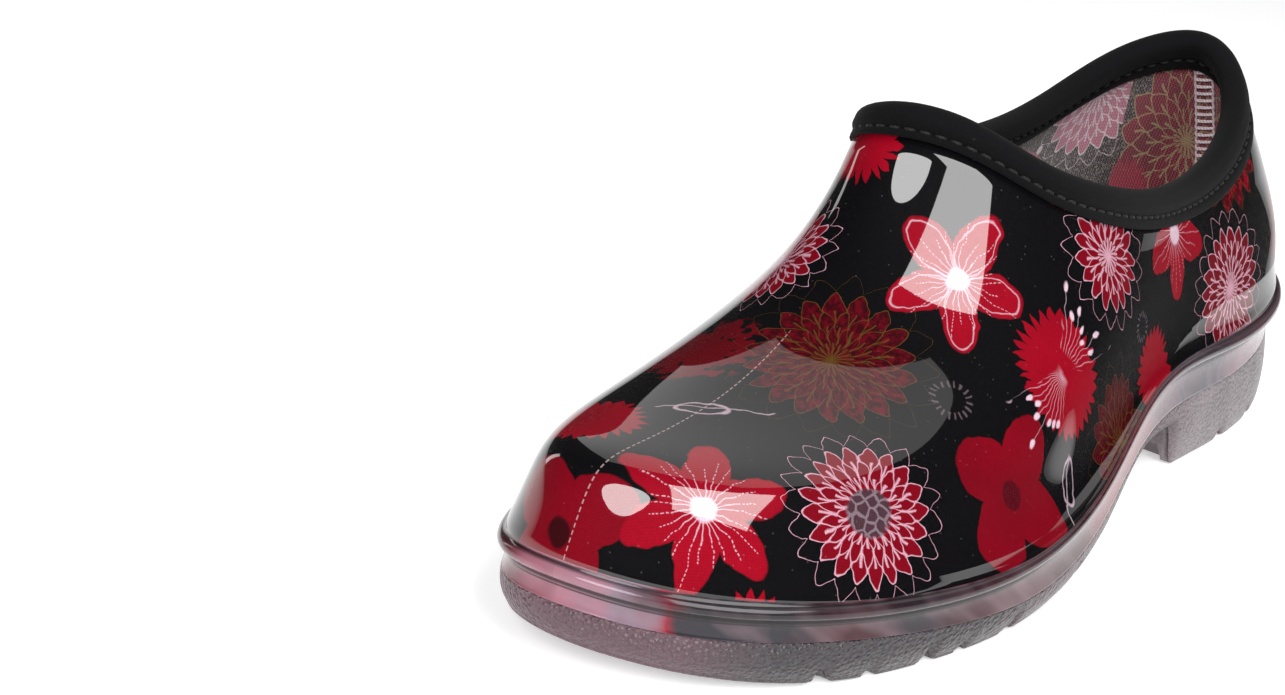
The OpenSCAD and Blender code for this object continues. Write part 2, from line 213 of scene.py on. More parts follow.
def ring_mesh(name, rings, mats, row_mat=None, v_of=None, s_of=None, closed=True):
    """Skin through rings of points (rows, stations, 3); the last row joins the first when closed.
    v_of gives each row's v for the print position; s_of a length along the section, both kept as attributes."""
    rings = np.asarray(rings, float); R, N = rings.shape[:2]
    rows = R if closed else R-1
    j = np.repeat(np.arange(rows), N); i = np.tile(np.arange(N), rows)
    a = j*N+i; b = j*N+(i+1) % N; c = ((j+1) % R)*N+i; d = ((j+1) % R)*N+(i+1) % N
    F = np.stack([a, b, d, c], 1)
    fm = None if row_mat is None else np.asarray(row_mat)[j]
    ob = mesh_object(name, rings.reshape(-1, 3), F, mats, fm)
    me = ob.data
    if v_of is not None:
        v_of = np.asarray(v_of, float)
        if v_of.ndim == 1: v_of = v_of[:, None] + np.zeros(N)
        t0 = i/N; tau0 = np.where(t0 >= 0.5-1e-9, t0, t0+1); tau1 = tau0+1.0/N
        vi = lambda jj, ii: v_of[jj % R, ii % N]
        ta = np.stack([tau0, tau1, tau1, tau0], 1); va = np.stack([vi(j,i), vi(j,i+1), vi(j+1,i+1), vi(j+1,i)], 1)
        uv = print_at(ta.ravel(), va.ravel())
        at = me.attributes.new("print_mm", 'FLOAT_VECTOR', 'CORNER')
        at.data.foreach_set("vector", np.concatenate([uv, np.zeros((len(uv), 1))], 1).astype(np.float32).ravel())
        at = me.attributes.new("station", 'FLOAT', 'CORNER')
        at.data.foreach_set("value", np.stack([t0, t0+1.0/N, t0+1.0/N, t0], 1).astype(np.float32).ravel())
    if s_of is not None:
        s_of = np.asarray(s_of, float)
        if s_of.ndim == 1: s_of = s_of[:, None] + np.zeros(N)
        at = me.attributes.new("row_mm", 'FLOAT', 'POINT')
        at.data.foreach_set("value", s_of.ravel().astype(np.float32))
    return ob


def web_mesh(name, low, high, sides, mats, low_cols, high_cols, low_z, high_z, side_mat=0, low_mat=0, high_mat=0):
    """Closed slab: webs across the lower and the upper ring of N points, and rings between them."""
    N = low.shape[0]; H = N//2
    verts = []; faces = []; fmat = []
    def add_web(ring, cols, zf, up):
        base = sum(len(q) for q in verts); pts = [ring[0][None]]; index = {0: (0, 1)}; n = 1
        for i in range(1, H):
            f = (np.arange(cols+1)/cols)[:, None]
            p = ring[i]*(1-f) + ring[N-i]*f
            inner = zf(p[1:-1, 0], p[1:-1, 1], i, f[1:-1, 0]); p[1:-1, 2] = p[1:-1, 2]*0 + inner
            pts.append(p); index[i] = (n, cols+1); n += cols+1
        pts.append(ring[H][None]); index[H] = (n, 1)
        verts.append(np.concatenate(pts))
        for i in range(H):
            s0, k0 = index[i]; s1, k1 = index[i+1]
            for jx in range(cols):
                q = [s0+(0 if k0 == 1 else jx), s0+(0 if k0 == 1 else jx+1), s1+(0 if k1 == 1 else jx+1), s1+(0 if k1 == 1 else jx)]
                q = [base+x for x in q]
                q = list(dict.fromkeys(q))
                if len(q) >= 3:
                    faces.append(q if up else q[::-1]); fmat.append(high_mat if up else low_mat)
        return lambda k: base + (index[k][0] if k <= H else index[N-k][0]+(index[N-k][1]-1))
    lo = add_web(low, low_cols, low_z, False)
    hi = add_web(high, high_cols, high_z, True)
    prev = [lo(k) for k in range(N)]
    for ring in list(sides)+[None]:
        if ring is None: cur = [hi(k) for k in range(N)]
        else:
            base = sum(len(q) for q in verts); verts.append(ring); cur = [base+k for k in range(N)]
        for k in range(N):
            k2 = (k+1) % N
            faces.append([prev[k], prev[k2], cur[k2], cur[k]]); fmat.append(side_mat)
        prev = cur
    return mesh_object(name, np.concatenate(verts), faces, mats, fmat)


def stitches(name, starts, stops, outs, radius, mat, arc=0.35, flat=0.75, seg=7, sides=8):
    """Short rounded threads, each bowed a little out of the face it lies on."""
    V = []; F = []
    for a, b, o in zip(starts, stops, outs):
        d = b-a; L = np.linalg.norm(d); d = d/L; s = np.cross(d, o); s /= np.linalg.norm(s); n = np.cross(s, d)
        base = len(V); V.append(a - n*arc*0.6)
        for k in range(1, seg):
            u = k/seg; w = radius*math.sqrt(max(0.0, 1-(2*u-1)**4)); c = a+d*L*u+n*arc*(1-(2*u-1)**2)*1.4-n*arc*0.6
            for q in range(sides):
                an = 2*math.pi*q/sides; V.append(c+s*w*math.cos(an)+n*w*flat*math.sin(an))
        V.append(b - n*arc*0.6); last = len(V)-1
        for q in range(sides):
            F.append([base, base+1+(q+1) % sides, base+1+q])
            for k in range(seg-2):
                r0 = base+1+k*sides; r1 = r0+sides
                F.append([r0+q, r0+(q+1) % sides, r1+(q+1) % sides, r1+q])
            r0 = base+1+(seg-2)*sides; F.append([r0+q, r0+(q+1) % sides, last])
    return mesh_object(name, V, F, [mat])


def tube(name, path, radius, mat, sides=8, normal=None):
    """Round thread along a path of points, with closed ends."""
    P = np.asarray(path, float); T = unit(np.gradient(P, axis=0)); V = []; F = []; n = len(P)
    up = np.array([0.2, 0.3, 1.0]) if normal is None else normal
    for k in range(n):
        s = unit(np.cross(T[k], up)); m = np.cross(s, T[k])
        for q in range(sides):
            an = 2*math.pi*q/sides; V.append(P[k]+radius*(s*math.cos(an)+m*math.sin(an)))
    for k in range(n-1):
        for q in range(sides):
            a = k*sides+q; b = k*sides+(q+1) % sides
            F.append([a, b, b+sides, a+sides])
    F.append(list(range(sides))[::-1]); F.append([(n-1)*sides+q for q in range(sides)])
    return V, F


# ---------------------------------------------------------------- node helpers
class G:
    """Writes a node tree with plain calls; sockets and numbers mix freely."""
    def __init__(self, tree): self.t = tree

    def n(self, kind, **kw):
        nd = self.t.nodes.new(kind)
        for k, v in kw.items(): setattr(nd, k, v)
        return nd

    def put(self, sock, v):
        if isinstance(v, bpy.types.NodeSocket): self.t.links.new(v, sock)
        else: sock.default_value = v

    def m(self, op, a, b=None, c=None, clamp=False):
        nd = self.n('ShaderNodeMath', operation=op)
        for k, v in enumerate((a, b, c)):
            if v is not None: self.put(nd.inputs[k], v)
        if not clamp: return nd.outputs[0]
        cl = self.n('ShaderNodeClamp'); self.put(cl.inputs[0], nd.outputs[0])
        return cl.outputs[0]

    def add(self, a, b): return self.m('ADD', a, b)
    def sub(self, a, b): return self.m('SUBTRACT', a, b)
    def mul(self, a, b): return self.m('MULTIPLY', a, b)
    def mx(self, *s):
        r = s[0]
        for q in s[1:]: r = self.m('MAXIMUM', r, q)
        return r
    def mn(self, *s):
        r = s[0]
        for q in s[1:]: r = self.m('MINIMUM', r, q)
        return r

    def lt(self, x, edge, soft):
        """1 where x is under edge, 0 over it, blended over soft."""
        return self.m('MULTIPLY_ADD', x, -1.0/soft, 0.5+edge/soft, clamp=True)

    def gt(self, x, edge, soft):
        return self.m('MULTIPLY_ADD', x, 1.0/soft, 0.5-edge/soft, clamp=True)

    def vm(self, op, a, b=None, scale=None):
        nd = self.n('ShaderNodeVectorMath', operation=op); self.put(nd.inputs[0], a)
        if b is not None: self.put(nd.inputs[1], b)
        if scale is not None: self.put(nd.inputs['Scale'], scale)
        return nd.outputs['Value'] if op in ('LENGTH', 'DISTANCE', 'DOT_PRODUCT') else nd.outputs[0]

    def xyz(self, v):
        nd = self.n('ShaderNodeSeparateXYZ'); self.put(nd.inputs[0], v)
        return nd.outputs[0], nd.outputs[1], nd.outputs[2]

    def vec(self, x, y, z=0.0):
        nd = self.n('ShaderNodeCombineXYZ')
        for k, v in enumerate((x, y, z)): self.put(nd.inputs[k], v)
        return nd.outputs[0]

    def mix(self, f, a, b, blend='MIX'):
        nd = self.n('ShaderNodeMix', data_type='RGBA', blend_type=blend); self.put(nd.inputs[0], f)
        for k, v in ((6, a), (7, b)):
            if isinstance(v, tuple) and len(v) == 3: v = (*v, 1.0)
            self.put(nd.inputs[k], v)
        return nd.outputs[2]

    def local(self, p, cx, cy, a, b, deg):
        """Place on the cloth, with 1 as its third part, to a turned and scaled frame about (cx, cy)."""
        c, q = math.cos(math.radians(deg)), math.sin(math.radians(deg))
        return (self.vm('DOT_PRODUCT', p, (c/a, q/a, -(cx*c+cy*q)/a)), self.vm('DOT_PRODUCT', p, (-q/b, c/b, (cx*q-cy*c)/b)))

    def sq(self, L): return self.m('MULTIPLY_ADD', L[1], L[1], self.mul(L[0], L[0]))

    def noise(self, v, scale, detail=2.0, rough=0.5, dims='3D', out=0, dist=0.0):
        nd = self.n('ShaderNodeTexNoise', noise_dimensions=dims)
        if v is not None: self.put(nd.inputs['Vector'], v)
        nd.inputs['Scale'].default_value = scale; nd.inputs['Detail'].default_value = detail
        nd.inputs['Roughness'].default_value = rough; nd.inputs['Distortion'].default_value = dist
        return nd.outputs[out]

    def voronoi(self, v, scale, feature='F1', out='Distance', rnd=1.0, dims='3D'):
        nd = self.n('ShaderNodeTexVoronoi', voronoi_dimensions=dims, feature=feature); self.put(nd.inputs['Vector'], v)
        nd.inputs['Scale'].default_value = scale; nd.inputs['Randomness'].default_value = rnd
        return nd.outputs[out]

    def white(self, w, out='Value'):
        nd = self.n('ShaderNodeTexWhiteNoise', noise_dimensions='1D'); self.put(nd.inputs['W'], w)
        return nd.outputs[out]

    def attr(self, name, out='Vector'):
        nd = self.n('ShaderNodeAttribute', attribute_name=name)
        return nd.outputs[out]

    def coords(self): return self.n('ShaderNodeTexCoord').outputs['Object']

    def ramp(self, f, stops, interp='LINEAR'):
        nd = self.n('ShaderNodeValToRGB'); self.put(nd.inputs[0], f); cr = nd.color_ramp; cr.interpolation = interp
        while len(cr.elements) < len(stops): cr.elements.new(0.5)
        for e, (pos, col) in zip(cr.elements, stops): e.position = pos; e.color = (*col, 1.0)
        return nd.outputs[0]

    def sep(self, c):
        nd = self.n('ShaderNodeSeparateColor'); self.put(nd.inputs[0], c)
        return nd.outputs[0]

    def bump(self, height, dist_mm, strength=1.0, normal=None):
        nd = self.n('ShaderNodeBump'); self.put(nd.inputs['Height'], height)
        nd.inputs['Distance'].default_value = dist_mm*0.001; nd.inputs['Strength'].default_value = strength
        if normal is not None: self.put(nd.inputs['Normal'], normal)
        return nd.outputs[0]

    # ---- print motifs, all in cloth millimetres
    def ell(self, p, cx, cy, a, b, deg, soft=0.35):
        k = min(a, b)/2
        return self.m('MULTIPLY_ADD', self.sq(self.local(p, cx, cy, a, b, deg)), -k/soft, k/soft+0.5, clamp=True)

    def outline(self, p, cx, cy, a, b, deg, w=0.12, soft=0.18):
        r = self.sq(self.local(p, cx, cy, a, b, deg)); k = min(a, b)/2
        return self.lt(self.m('ABSOLUTE', self.m('MULTIPLY_ADD', r, k, -k)), w, soft)

    def polar(self, L):
        return self.m('SQRT', self.sq(L)), self.m('ARCTAN2', L[1], L[0])

    def rays(self, p, cx, cy, n, r0, r1, w=0.2, dash=0.0, spread=0.5, seed=0.0):
        """Thin lines out of a centre, each with a length of its own, some of them dotted."""
        L = self.local(p, cx, cy, 1, 1, 0); r, th = self.polar(L)
        a = self.m('MULTIPLY_ADD', th, n/(2*math.pi), n*2.0+seed); cell = self.m('FLOOR', a); h = self.white(cell)
        f = self.m('ABSOLUTE', self.sub(self.m('FRACT', a), self.m('MULTIPLY_ADD', h, 0.4, 0.3)))
        dist = self.mul(self.mul(f, r), 2*math.pi/n)
        line = self.lt(dist, w, 0.2)
        lim = self.lt(self.sub(r, self.m('MULTIPLY_ADD', h, r1*spread, r1*(1-spread))), 0, 0.4)
        line = self.mul(self.mul(line, lim), self.gt(r, r0, 0.3))
        if dash: line = self.mul(line, self.mx(self.gt(self.m('FRACT', self.mul(r, 1/dash)), 0.42, 0.25), self.lt(r, r1*0.35, 1.0)))
        return line, r, th, h, dist

    def chrys(self, p, cx, cy, R, dr, n, w, asp=1.0, deg=0.0, c=0.55, r0=0.0):
        """Rows of overlapping petals: (area, lines)."""
        L = self.local(p, cx, cy, 1, asp, deg); r, th = self.polar(L); rr = self.mul(r, 1/dr); k = self.m('FLOOR', rr)
        odd = self.m('MODULO', k, 2.0)
        a = self.m('MULTIPLY_ADD', th, n/(2*math.pi), self.m('MULTIPLY_ADD', odd, 0.5, n*1.0))
        f2 = self.m('ABSOLUTE', self.m('MULTIPLY_ADD', self.m('FRACT', a), 2.0, -1.0))
        fr = self.m('FRACT', rr); tip = self.m('MULTIPLY_ADD', self.m('POWER', f2, 1.35), -c, 1.0)
        gap = self.sub(fr, tip); dtip = self.mul(self.m('ABSOLUTE', gap), dr)
        dside = self.mul(self.m('MULTIPLY_ADD', f2, -math.pi/n, math.pi/n), r)
        line = self.lt(self.mn(dtip, dside), w, 0.28)
        pk = self.add(k, self.gt(gap, 0, 0.02))
        fill = self.lt(pk, round(R/dr)-0.5, 0.05)
        if r0: fill = self.mul(fill, self.gt(r, r0, 0.4))
        near = self.lt(self.m('MULTIPLY_ADD', self.lt(dtip, w, 0.1), -0.5, pk), round(R/dr)-0.35, 0.05)
        return fill, self.mul(line, near), r, th

    def jag(self, p, cx, cy, a, b, deg, n=30, amp=0.22, soft=0.4, seed=0.0):
        """An oval with a torn, toothed outline."""
        L = self.local(p, cx, cy, a, b, deg); r, th = self.polar(L)
        s = self.m('MULTIPLY_ADD', th, n/(2*math.pi), n+seed); h = self.white(self.m('FLOOR', s))
        saw = self.m('ABSOLUTE', self.m('MULTIPLY_ADD', self.m('FRACT', s), 2.0, -1.0))
        e = self.m('MULTIPLY_ADD', self.mul(saw, self.m('MULTIPLY_ADD', h, 0.8, 0.5)), amp, r); k = min(a, b)
        return self.m('MULTIPLY_ADD', e, -k/soft, k/soft+0.5, clamp=True)

    def blotch(self, p, cx, cy, a, b, deg, scale=0.16, thr=0.5, stretch=2.2, seed=0.0):
        """Loose brushed petals inside a soft oval."""
        L = self.local(p, cx, cy, a, b, deg); r, th = self.polar(L)
        v = self.vec(self.mul(self.m('SINE', self.mul(th, 1.0)), stretch), self.mul(self.m('COSINE', th), stretch), self.m('MULTIPLY_ADD', r, 3.2, seed))
        q = self.noise(v, 1.35, 1.5, 0.5)
        fade = self.m('MULTIPLY_ADD', r, -0.35, 0.33)
        return self.mul(self.gt(self.add(q, fade), thr+0.04, 0.05), self.lt(r, 1.0, 0.12))

    def ring_dash(self, p, cx, cy, r0, r1, n, w=0.3, asp=1.0, deg=0.0):
        L = self.local(p, cx, cy, 1, asp, deg); r, th = self.polar(L)
        f = self.m('ABSOLUTE', self.sub(self.m('FRACT', self.m('MULTIPLY_ADD', th, n/(2*math.pi), n)), 0.5))
        d = self.mul(self.mul(f, r), 2*math.pi/n)
        return self.mul(self.lt(d, w, 0.25), self.mul(self.gt(r, r0, 0.3), self.lt(r, r1, 0.3)))

    def stroke(self, p, x0, y0, x1, y1, w=0.2):
        cx, cy = (x0+x1)/2, (y0+y1)/2; a = math.hypot(x1-x0, y1-y0)/2
        x, y = self.local(p, cx, cy, a, 1, math.degrees(math.atan2(y1-y0, x1-x0)))
        return self.mul(self.lt(self.m('ABSOLUTE', y), w, 0.2), self.lt(self.m('ABSOLUTE', x), 1.0, 0.06))


BLACK = (0.0016, 0.0014, 0.0018)
CRIMSON = (0.24, 0.0006, 0.008)
RED = (0.13, 0.0005, 0.005)
WINE = (0.052, 0.0005, 0.003)
DARKWINE = (0.025, 0.0005, 0.002)
OLIVE = (0.085, 0.045, 0.008)
LACE = (0.46, 0.25, 0.31)
WHITE = (0.54, 0.39, 0.46)
PLUM = (0.05, 0.022, 0.030)


def print_group():
    """The floral print as one node group: cloth position in mm in, colour out."""
    t = bpy.data.node_groups.new("floral_print", 'ShaderNodeTree')
    t.interface.new_socket("Place", in_out='INPUT', socket_type='NodeSocketVector')
    t.interface.new_socket("Color", in_out='OUTPUT', socket_type='NodeSocketColor')
    g = G(t); gi = t.nodes.new('NodeGroupInput'); go = t.nodes.new('NodeGroupOutput')
    raw = gi.outputs[0]
    # the cloth repeats: far on the inner side it starts again
    x, y, z = g.xyz(raw)
    cutx = g.m('MULTIPLY_ADD', g.m('SINE', g.mul(y, 0.21)), 1.6, -33.0)
    left = g.lt(g.sub(x, cutx), 0, 0.02)
    seam = g.lt(g.m('ABSOLUTE', g.sub(x, cutx)), 1.3, 0.6)
    shift = g.vec(g.mul(left, 105.0), g.mul(left, 18.0))
    q = g.vm('ADD', raw, shift)
    # a hand-drawn waver
    nz = g.noise(q, 0.16, 2.0, 0.55, out=1)
    wob = g.vm('SCALE', g.vm('SUBTRACT', nz, (0.5, 0.5, 0.5)), scale=3.0)
    p = g.vm('ADD', g.vm('MULTIPLY', g.vm('ADD', q, wob), (1, 1, 0)), (0, 0, 1))
    tone = g.noise(q, 0.07, 2.0, 0.5)
    grain = g.noise(q, 1.1, 2.0, 0.6)
    col = g.mix(g.mul(grain, 0.25), BLACK, (0.0045, 0.0036, 0.0046))

    t_rose = g.mix(tone, WINE, RED); t_deep = g.mix(tone, DARKWINE, (0.075, 0.0006, 0.004)); t_red = g.mix(tone, (0.11, 0.0004, 0.005), (0.18, 0.0005, 0.007)); t_hot = g.mix(tone, (0.17, 0.0005, 0.007), (0.27, 0.0008, 0.010))

    def lay(mask, colour):
        nonlocal col
        col = g.mix(mask, col, colour)

    def bloom(cx, cy, n, off, a, b, first=0.0):
        """Equal petals round a centre."""
        m = None
        for k in range(n):
            th = math.radians(first+360.0*k/n); e = g.ell(p, cx+off*math.cos(th), cy+off*math.sin(th), a, b, math.degrees(th))
            m = e if m is None else g.mx(m, e)
        return m

    # loose dark roses in the ground
    roses = g.mx(g.blotch(p, 36, 34, 13, 13, 60, seed=1.0), g.blotch(p, -14, -72, 15, 13, 10, seed=4.0, thr=0.47),
                 g.blotch(p, 20, 118, 22, 18, 0, seed=7.3))
    lay(roses, t_rose)
    streak = g.blotch(p, 92, 108, 16, 13, 20, seed=2.0, thr=0.47)
    lay(streak, t_rose)
    # dark chrysanthemums with fine gold-brown outlines
    f1, l1, r1, th1 = g.chrys(p, 14, -62, 19, 4.75, 18, 0.16, asp=1.0, deg=0, c=0.9)
    brush = g.noise(g.vec(g.mul(th1, 5.0), g.mul(r1, 0.22)), 2.2, 2.0, 0.6)
    lay(f1, g.mix(g.gt(brush, 0.52, 0.2), DARKWINE, (0.085, 0.0006, 0.005)))
    lay(g.mul(l1, 0.8), OLIVE)
    f2, l2, r2, th2 = g.chrys(p, 56, 80, 20, 5.0, 16, 0.16, asp=1.0, deg=0, c=0.9)
    brush2 = g.noise(g.vec(g.mul(th2, 4.0), g.mul(r2, 0.16)), 1.7, 2.0, 0.6)
    lay(f2, g.mix(g.gt(brush2, 0.54, 0.14), (0.045, 0.0006, 0.003), (0.19, 0.0006, 0.007)))
    lay(g.mul(l2, 0.55), OLIVE)
    f3, l3, r3, th3 = g.chrys(p, 88, -12, 16, 4.0, 18, 0.17, c=0.8)
    lay(f3, t_deep)
    lay(g.mul(l3, 0.8), OLIVE)
    # plain round-petalled blooms
    lay(bloom(-2, -137, 4, 8.0, 9.5, 7.0, 45), t_red)
    lay(g.mx(g.ell(p, -2, -137, 3.0, 3.0, 0, 0.8), g.ell(p, -2, -137, 1.4, 1.4, 0, 0.8)), (0.025, 0.0006, 0.002))
    lay(g.mx(bloom(64, -58, 4, 8.5, 9.5, 7.0, 20), g.jag(p, 30, 8, 8, 8, 0, 14, 0.35)), t_red)
    lay(g.mx(g.ell(p, 64, -58, 3.2, 3.2, 0, 0.6), g.ell(p, 30, 8, 2.6, 2.6, 0, 0.9), g.ell(p, 64, -58, 1.5, 1.5, 0, 0.9)), (0.06, 0.001, 0.005))
    lay(bloom(30, 138, 6, 9.0, 9.5, 5.0), t_red)
    # round carnations with toothed edges
    torn = g.mx(g.jag(p, 58, -26, 15, 13.5, 0, 30, 0.22), g.jag(p, -12, -108, 11, 10.5, 0, 24, 0.25, seed=3), g.jag(p, 90, 18, 12, 11.5, 0, 24, 0.25),
                g.jag(p, 44, -128, 10, 9.5, 0, 22, 0.25, seed=5), g.jag(p, -6, -10, 9.5, 9, 0, 20, 0.3), g.jag(p, 80, -88, 9, 9, 0, 20, 0.3),
                g.jag(p, 24, 152, 14, 13, 0, 26, 0.3))
    lay(torn, t_hot)
    # daisies: petals
    A = bloom(20, -118, 6, 8.5, 8.6, 4.2, 0); B = bloom(26, -28, 5, 8.5, 8.6, 4.8, 18); D = bloom(66, 42, 5, 8.0, 8.0, 4.6, -18)
    lay(g.mx(A, B, D), t_hot)
    # lace flowers
    def lace(mx_fill, mx_line, fill=(0.14, 0.0006, 0.006), line=LACE):
        lay(mx_fill, fill); lay(mx_line, line)
    cf, cl, cr_, cth = g.chrys(p, 42, -92, 15, 3.75, 20, 0.24, c=0.85)
    lace(cf, cl)
    core = g.ell(p, 42, -92, 5.0, 5.0, 0, 0.8)
    lay(core, PLUM)
    ll = g.voronoi(p, 0.42, 'DISTANCE_TO_EDGE', rnd=0.8, dims='2D')
    lay(g.mul(core, g.mul(g.lt(ll, 0.11, 0.06), 0.55)), (0.24, 0.18, 0.21))
    tf, tl, _, _ = g.chrys(p, -18, -38, 14, 3.5, 19, 0.24, c=0.85)
    lace(tf, tl)
    hf, hl, hr, hth = g.chrys(p, 92, 66, 16, 4.0, 20, 0.26, c=0.8)
    lace(hf, hl, fill=(0.11, 0.0006, 0.005))
    kf, kl, _, _ = g.chrys(p, 52, 8, 12, 4.0, 16, 0.24, c=0.8)
    lace(kf, kl)
    # white rays, centres and outlines, laid one kind at a time
    la, ra, _, ha, _ = g.rays(p, 20, -118, 24, 1.2, 17, 0.06, dash=0.9)
    lay(g.mul(la, A), WHITE)
    lb, rb, _, _, _ = g.rays(p, 26, -28, 25, 1.2, 18, 0.06, dash=0.9)
    lay(g.mul(lb, B), WHITE)
    ld, rd, _, _, _ = g.rays(p, 66, 42, 25, 1.0, 17, 0.06, dash=0.9)
    lay(g.mul(ld, D), WHITE)
    lay(g.mx(g.ell(p, 20, -118, 2.4, 2.4, 0, 0.7), g.ell(p, 26, -28, 2.6, 2.6, 0, 0.7), g.ell(p, 66, 42, 2.4, 2.4, 0, 0.8)), WHITE)
    outl = None
    for k in range(5):
        th = math.radians(18+72*k); e = g.outline(p, 26+9*math.cos(th), -28+9*math.sin(th), 7.0, 3.6, 18+72*k); outl = e if outl is None else g.mx(outl, e)
    lay(g.mul(outl, 0.6), WHITE)
    # stamens fan out of a base and end in drops
    Ls = g.local(p, 58, -26, 1, 1, 70); rs, ths = g.polar(Ls); ns = 44
    aa = g.m('MULTIPLY_ADD', ths, ns/(2*math.pi), ns*1.0); hs = g.white(g.m('FLOOR', aa)); fs = g.m('ABSOLUTE', g.sub(g.m('FRACT', aa), 0.5))
    ds = g.mul(g.mul(fs, rs), 2*math.pi/ns); rt = g.m('MULTIPLY_ADD', hs, 15.0, 8.0)
    dx, dy = Ls
    fan = g.mx(g.gt(g.m('MULTIPLY_ADD', dx, -0.93, g.mul(dy, -0.28)), 0, 1.0), g.gt(g.m('MULTIPLY_ADD', dx, 0.80, g.mul(dy, 0.35)), 4.0, 1.0))
    off = g.m('ABSOLUTE', g.m('MULTIPLY_ADD', dx, -0.44, g.mul(dy, 0.9)))
    fan = g.mul(fan, g.lt(g.m('MULTIPLY_ADD', rs, -0.42, off), 1.2, 0.6))
    dr_ = g.sub(rs, rt); far = g.mul(dr_, 0.55)
    drop_ = g.lt(g.m('SQRT', g.m('MULTIPLY_ADD', far, far, g.mul(ds, ds))), 0.62, 0.3)
    fil = g.mul(g.lt(ds, 0.07, 0.14), g.lt(dr_, 0, 0.4))
    lay(g.mul(fan, g.mx(drop_, g.mul(fil, 0.55))), WHITE)
    # leaf, stem and stray line work
    lines = g.mx(g.outline(p, 2, -92, 5, 2.2, 30, 0.2), g.outline(p, 76, -40, 5, 2.2, -50, 0.18), g.stroke(p, -6, -96, 14, -84, 0.16), g.stroke(p, 72, -36, 86, -54, 0.15),
                 g.outline(p, 46, 56, 5, 2.2, 60, 0.16))
    lay(g.mul(lines, 0.6), WHITE)
    rings = g.mx(g.ring_dash(p, 40, -54, 3.4, 5.0, 18, 0.22), g.ring_dash(p, 66, -112, 4.0, 6.0, 18, 0.24), g.ring_dash(p, 8, 30, 5, 7, 20, 0.24), g.ring_dash(p, 74, 14, 2.6, 4.0, 16, 0.22))
    lay(g.mul(rings, 0.14), WHITE)
    # the cut between repeats falls in the black ground
    lay(seam, BLACK)
    # the knit shows through the ink
    rib = g.m('SINE', g.mul(x, 2*math.pi/0.86)); crs = g.m('SINE', g.mul(y, 2*math.pi/0.72))
    ink = g.m('MULTIPLY_ADD', g.mul(rib, crs), 0.13, 1.0)
    ink = g.mul(ink, g.m('MULTIPLY_ADD', grain, 0.36, 0.82))
    nd = g.n('ShaderNodeMix', data_type='RGBA', blend_type='MULTIPLY'); nd.inputs[0].default_value = 1.0
    g.put(nd.inputs[6], col); g.put(nd.inputs[7], g.vec(ink, ink, ink)); col = nd.outputs[2]
    fleck = g.mul(g.gt(g.white(g.m('MULTIPLY_ADD', g.m('FLOOR', g.mul(x, 1/0.86)), 57.31, g.m('FLOOR', g.mul(y, 1/0.72)))), 0.985, 0.01),
                  g.mul(g.gt(rib, 0.3, 0.5), g.gt(crs, 0.3, 0.5)))
    col = g.mix(g.mul(fleck, 0.05), col, (0.6, 0.5, 0.5))
    g.put(go.inputs[0], col)
    return t


PRINT = print_group()


def material(name, **const):
    m = bpy.data.materials.new(name); m.use_nodes = True; m.node_tree.nodes.clear(); g = G(m.node_tree)
    out = g.n('ShaderNodeOutputMaterial'); bs = g.n('ShaderNodeBsdfPrincipled'); m.node_tree.links.new(bs.outputs[0], out.inputs[0])
    for k, v in const.items():
        key = k.replace("_", " "); key = {"Coat Weight": "Coat Weight"}.get(key, key)
        bs.inputs[key].default_value = v
    return m, g, bs


def use_print(g, place):
    nd = g.n('ShaderNodeGroup'); nd.node_tree = PRINT; g.put(nd.inputs[0], place)
    return nd.outputs[0]


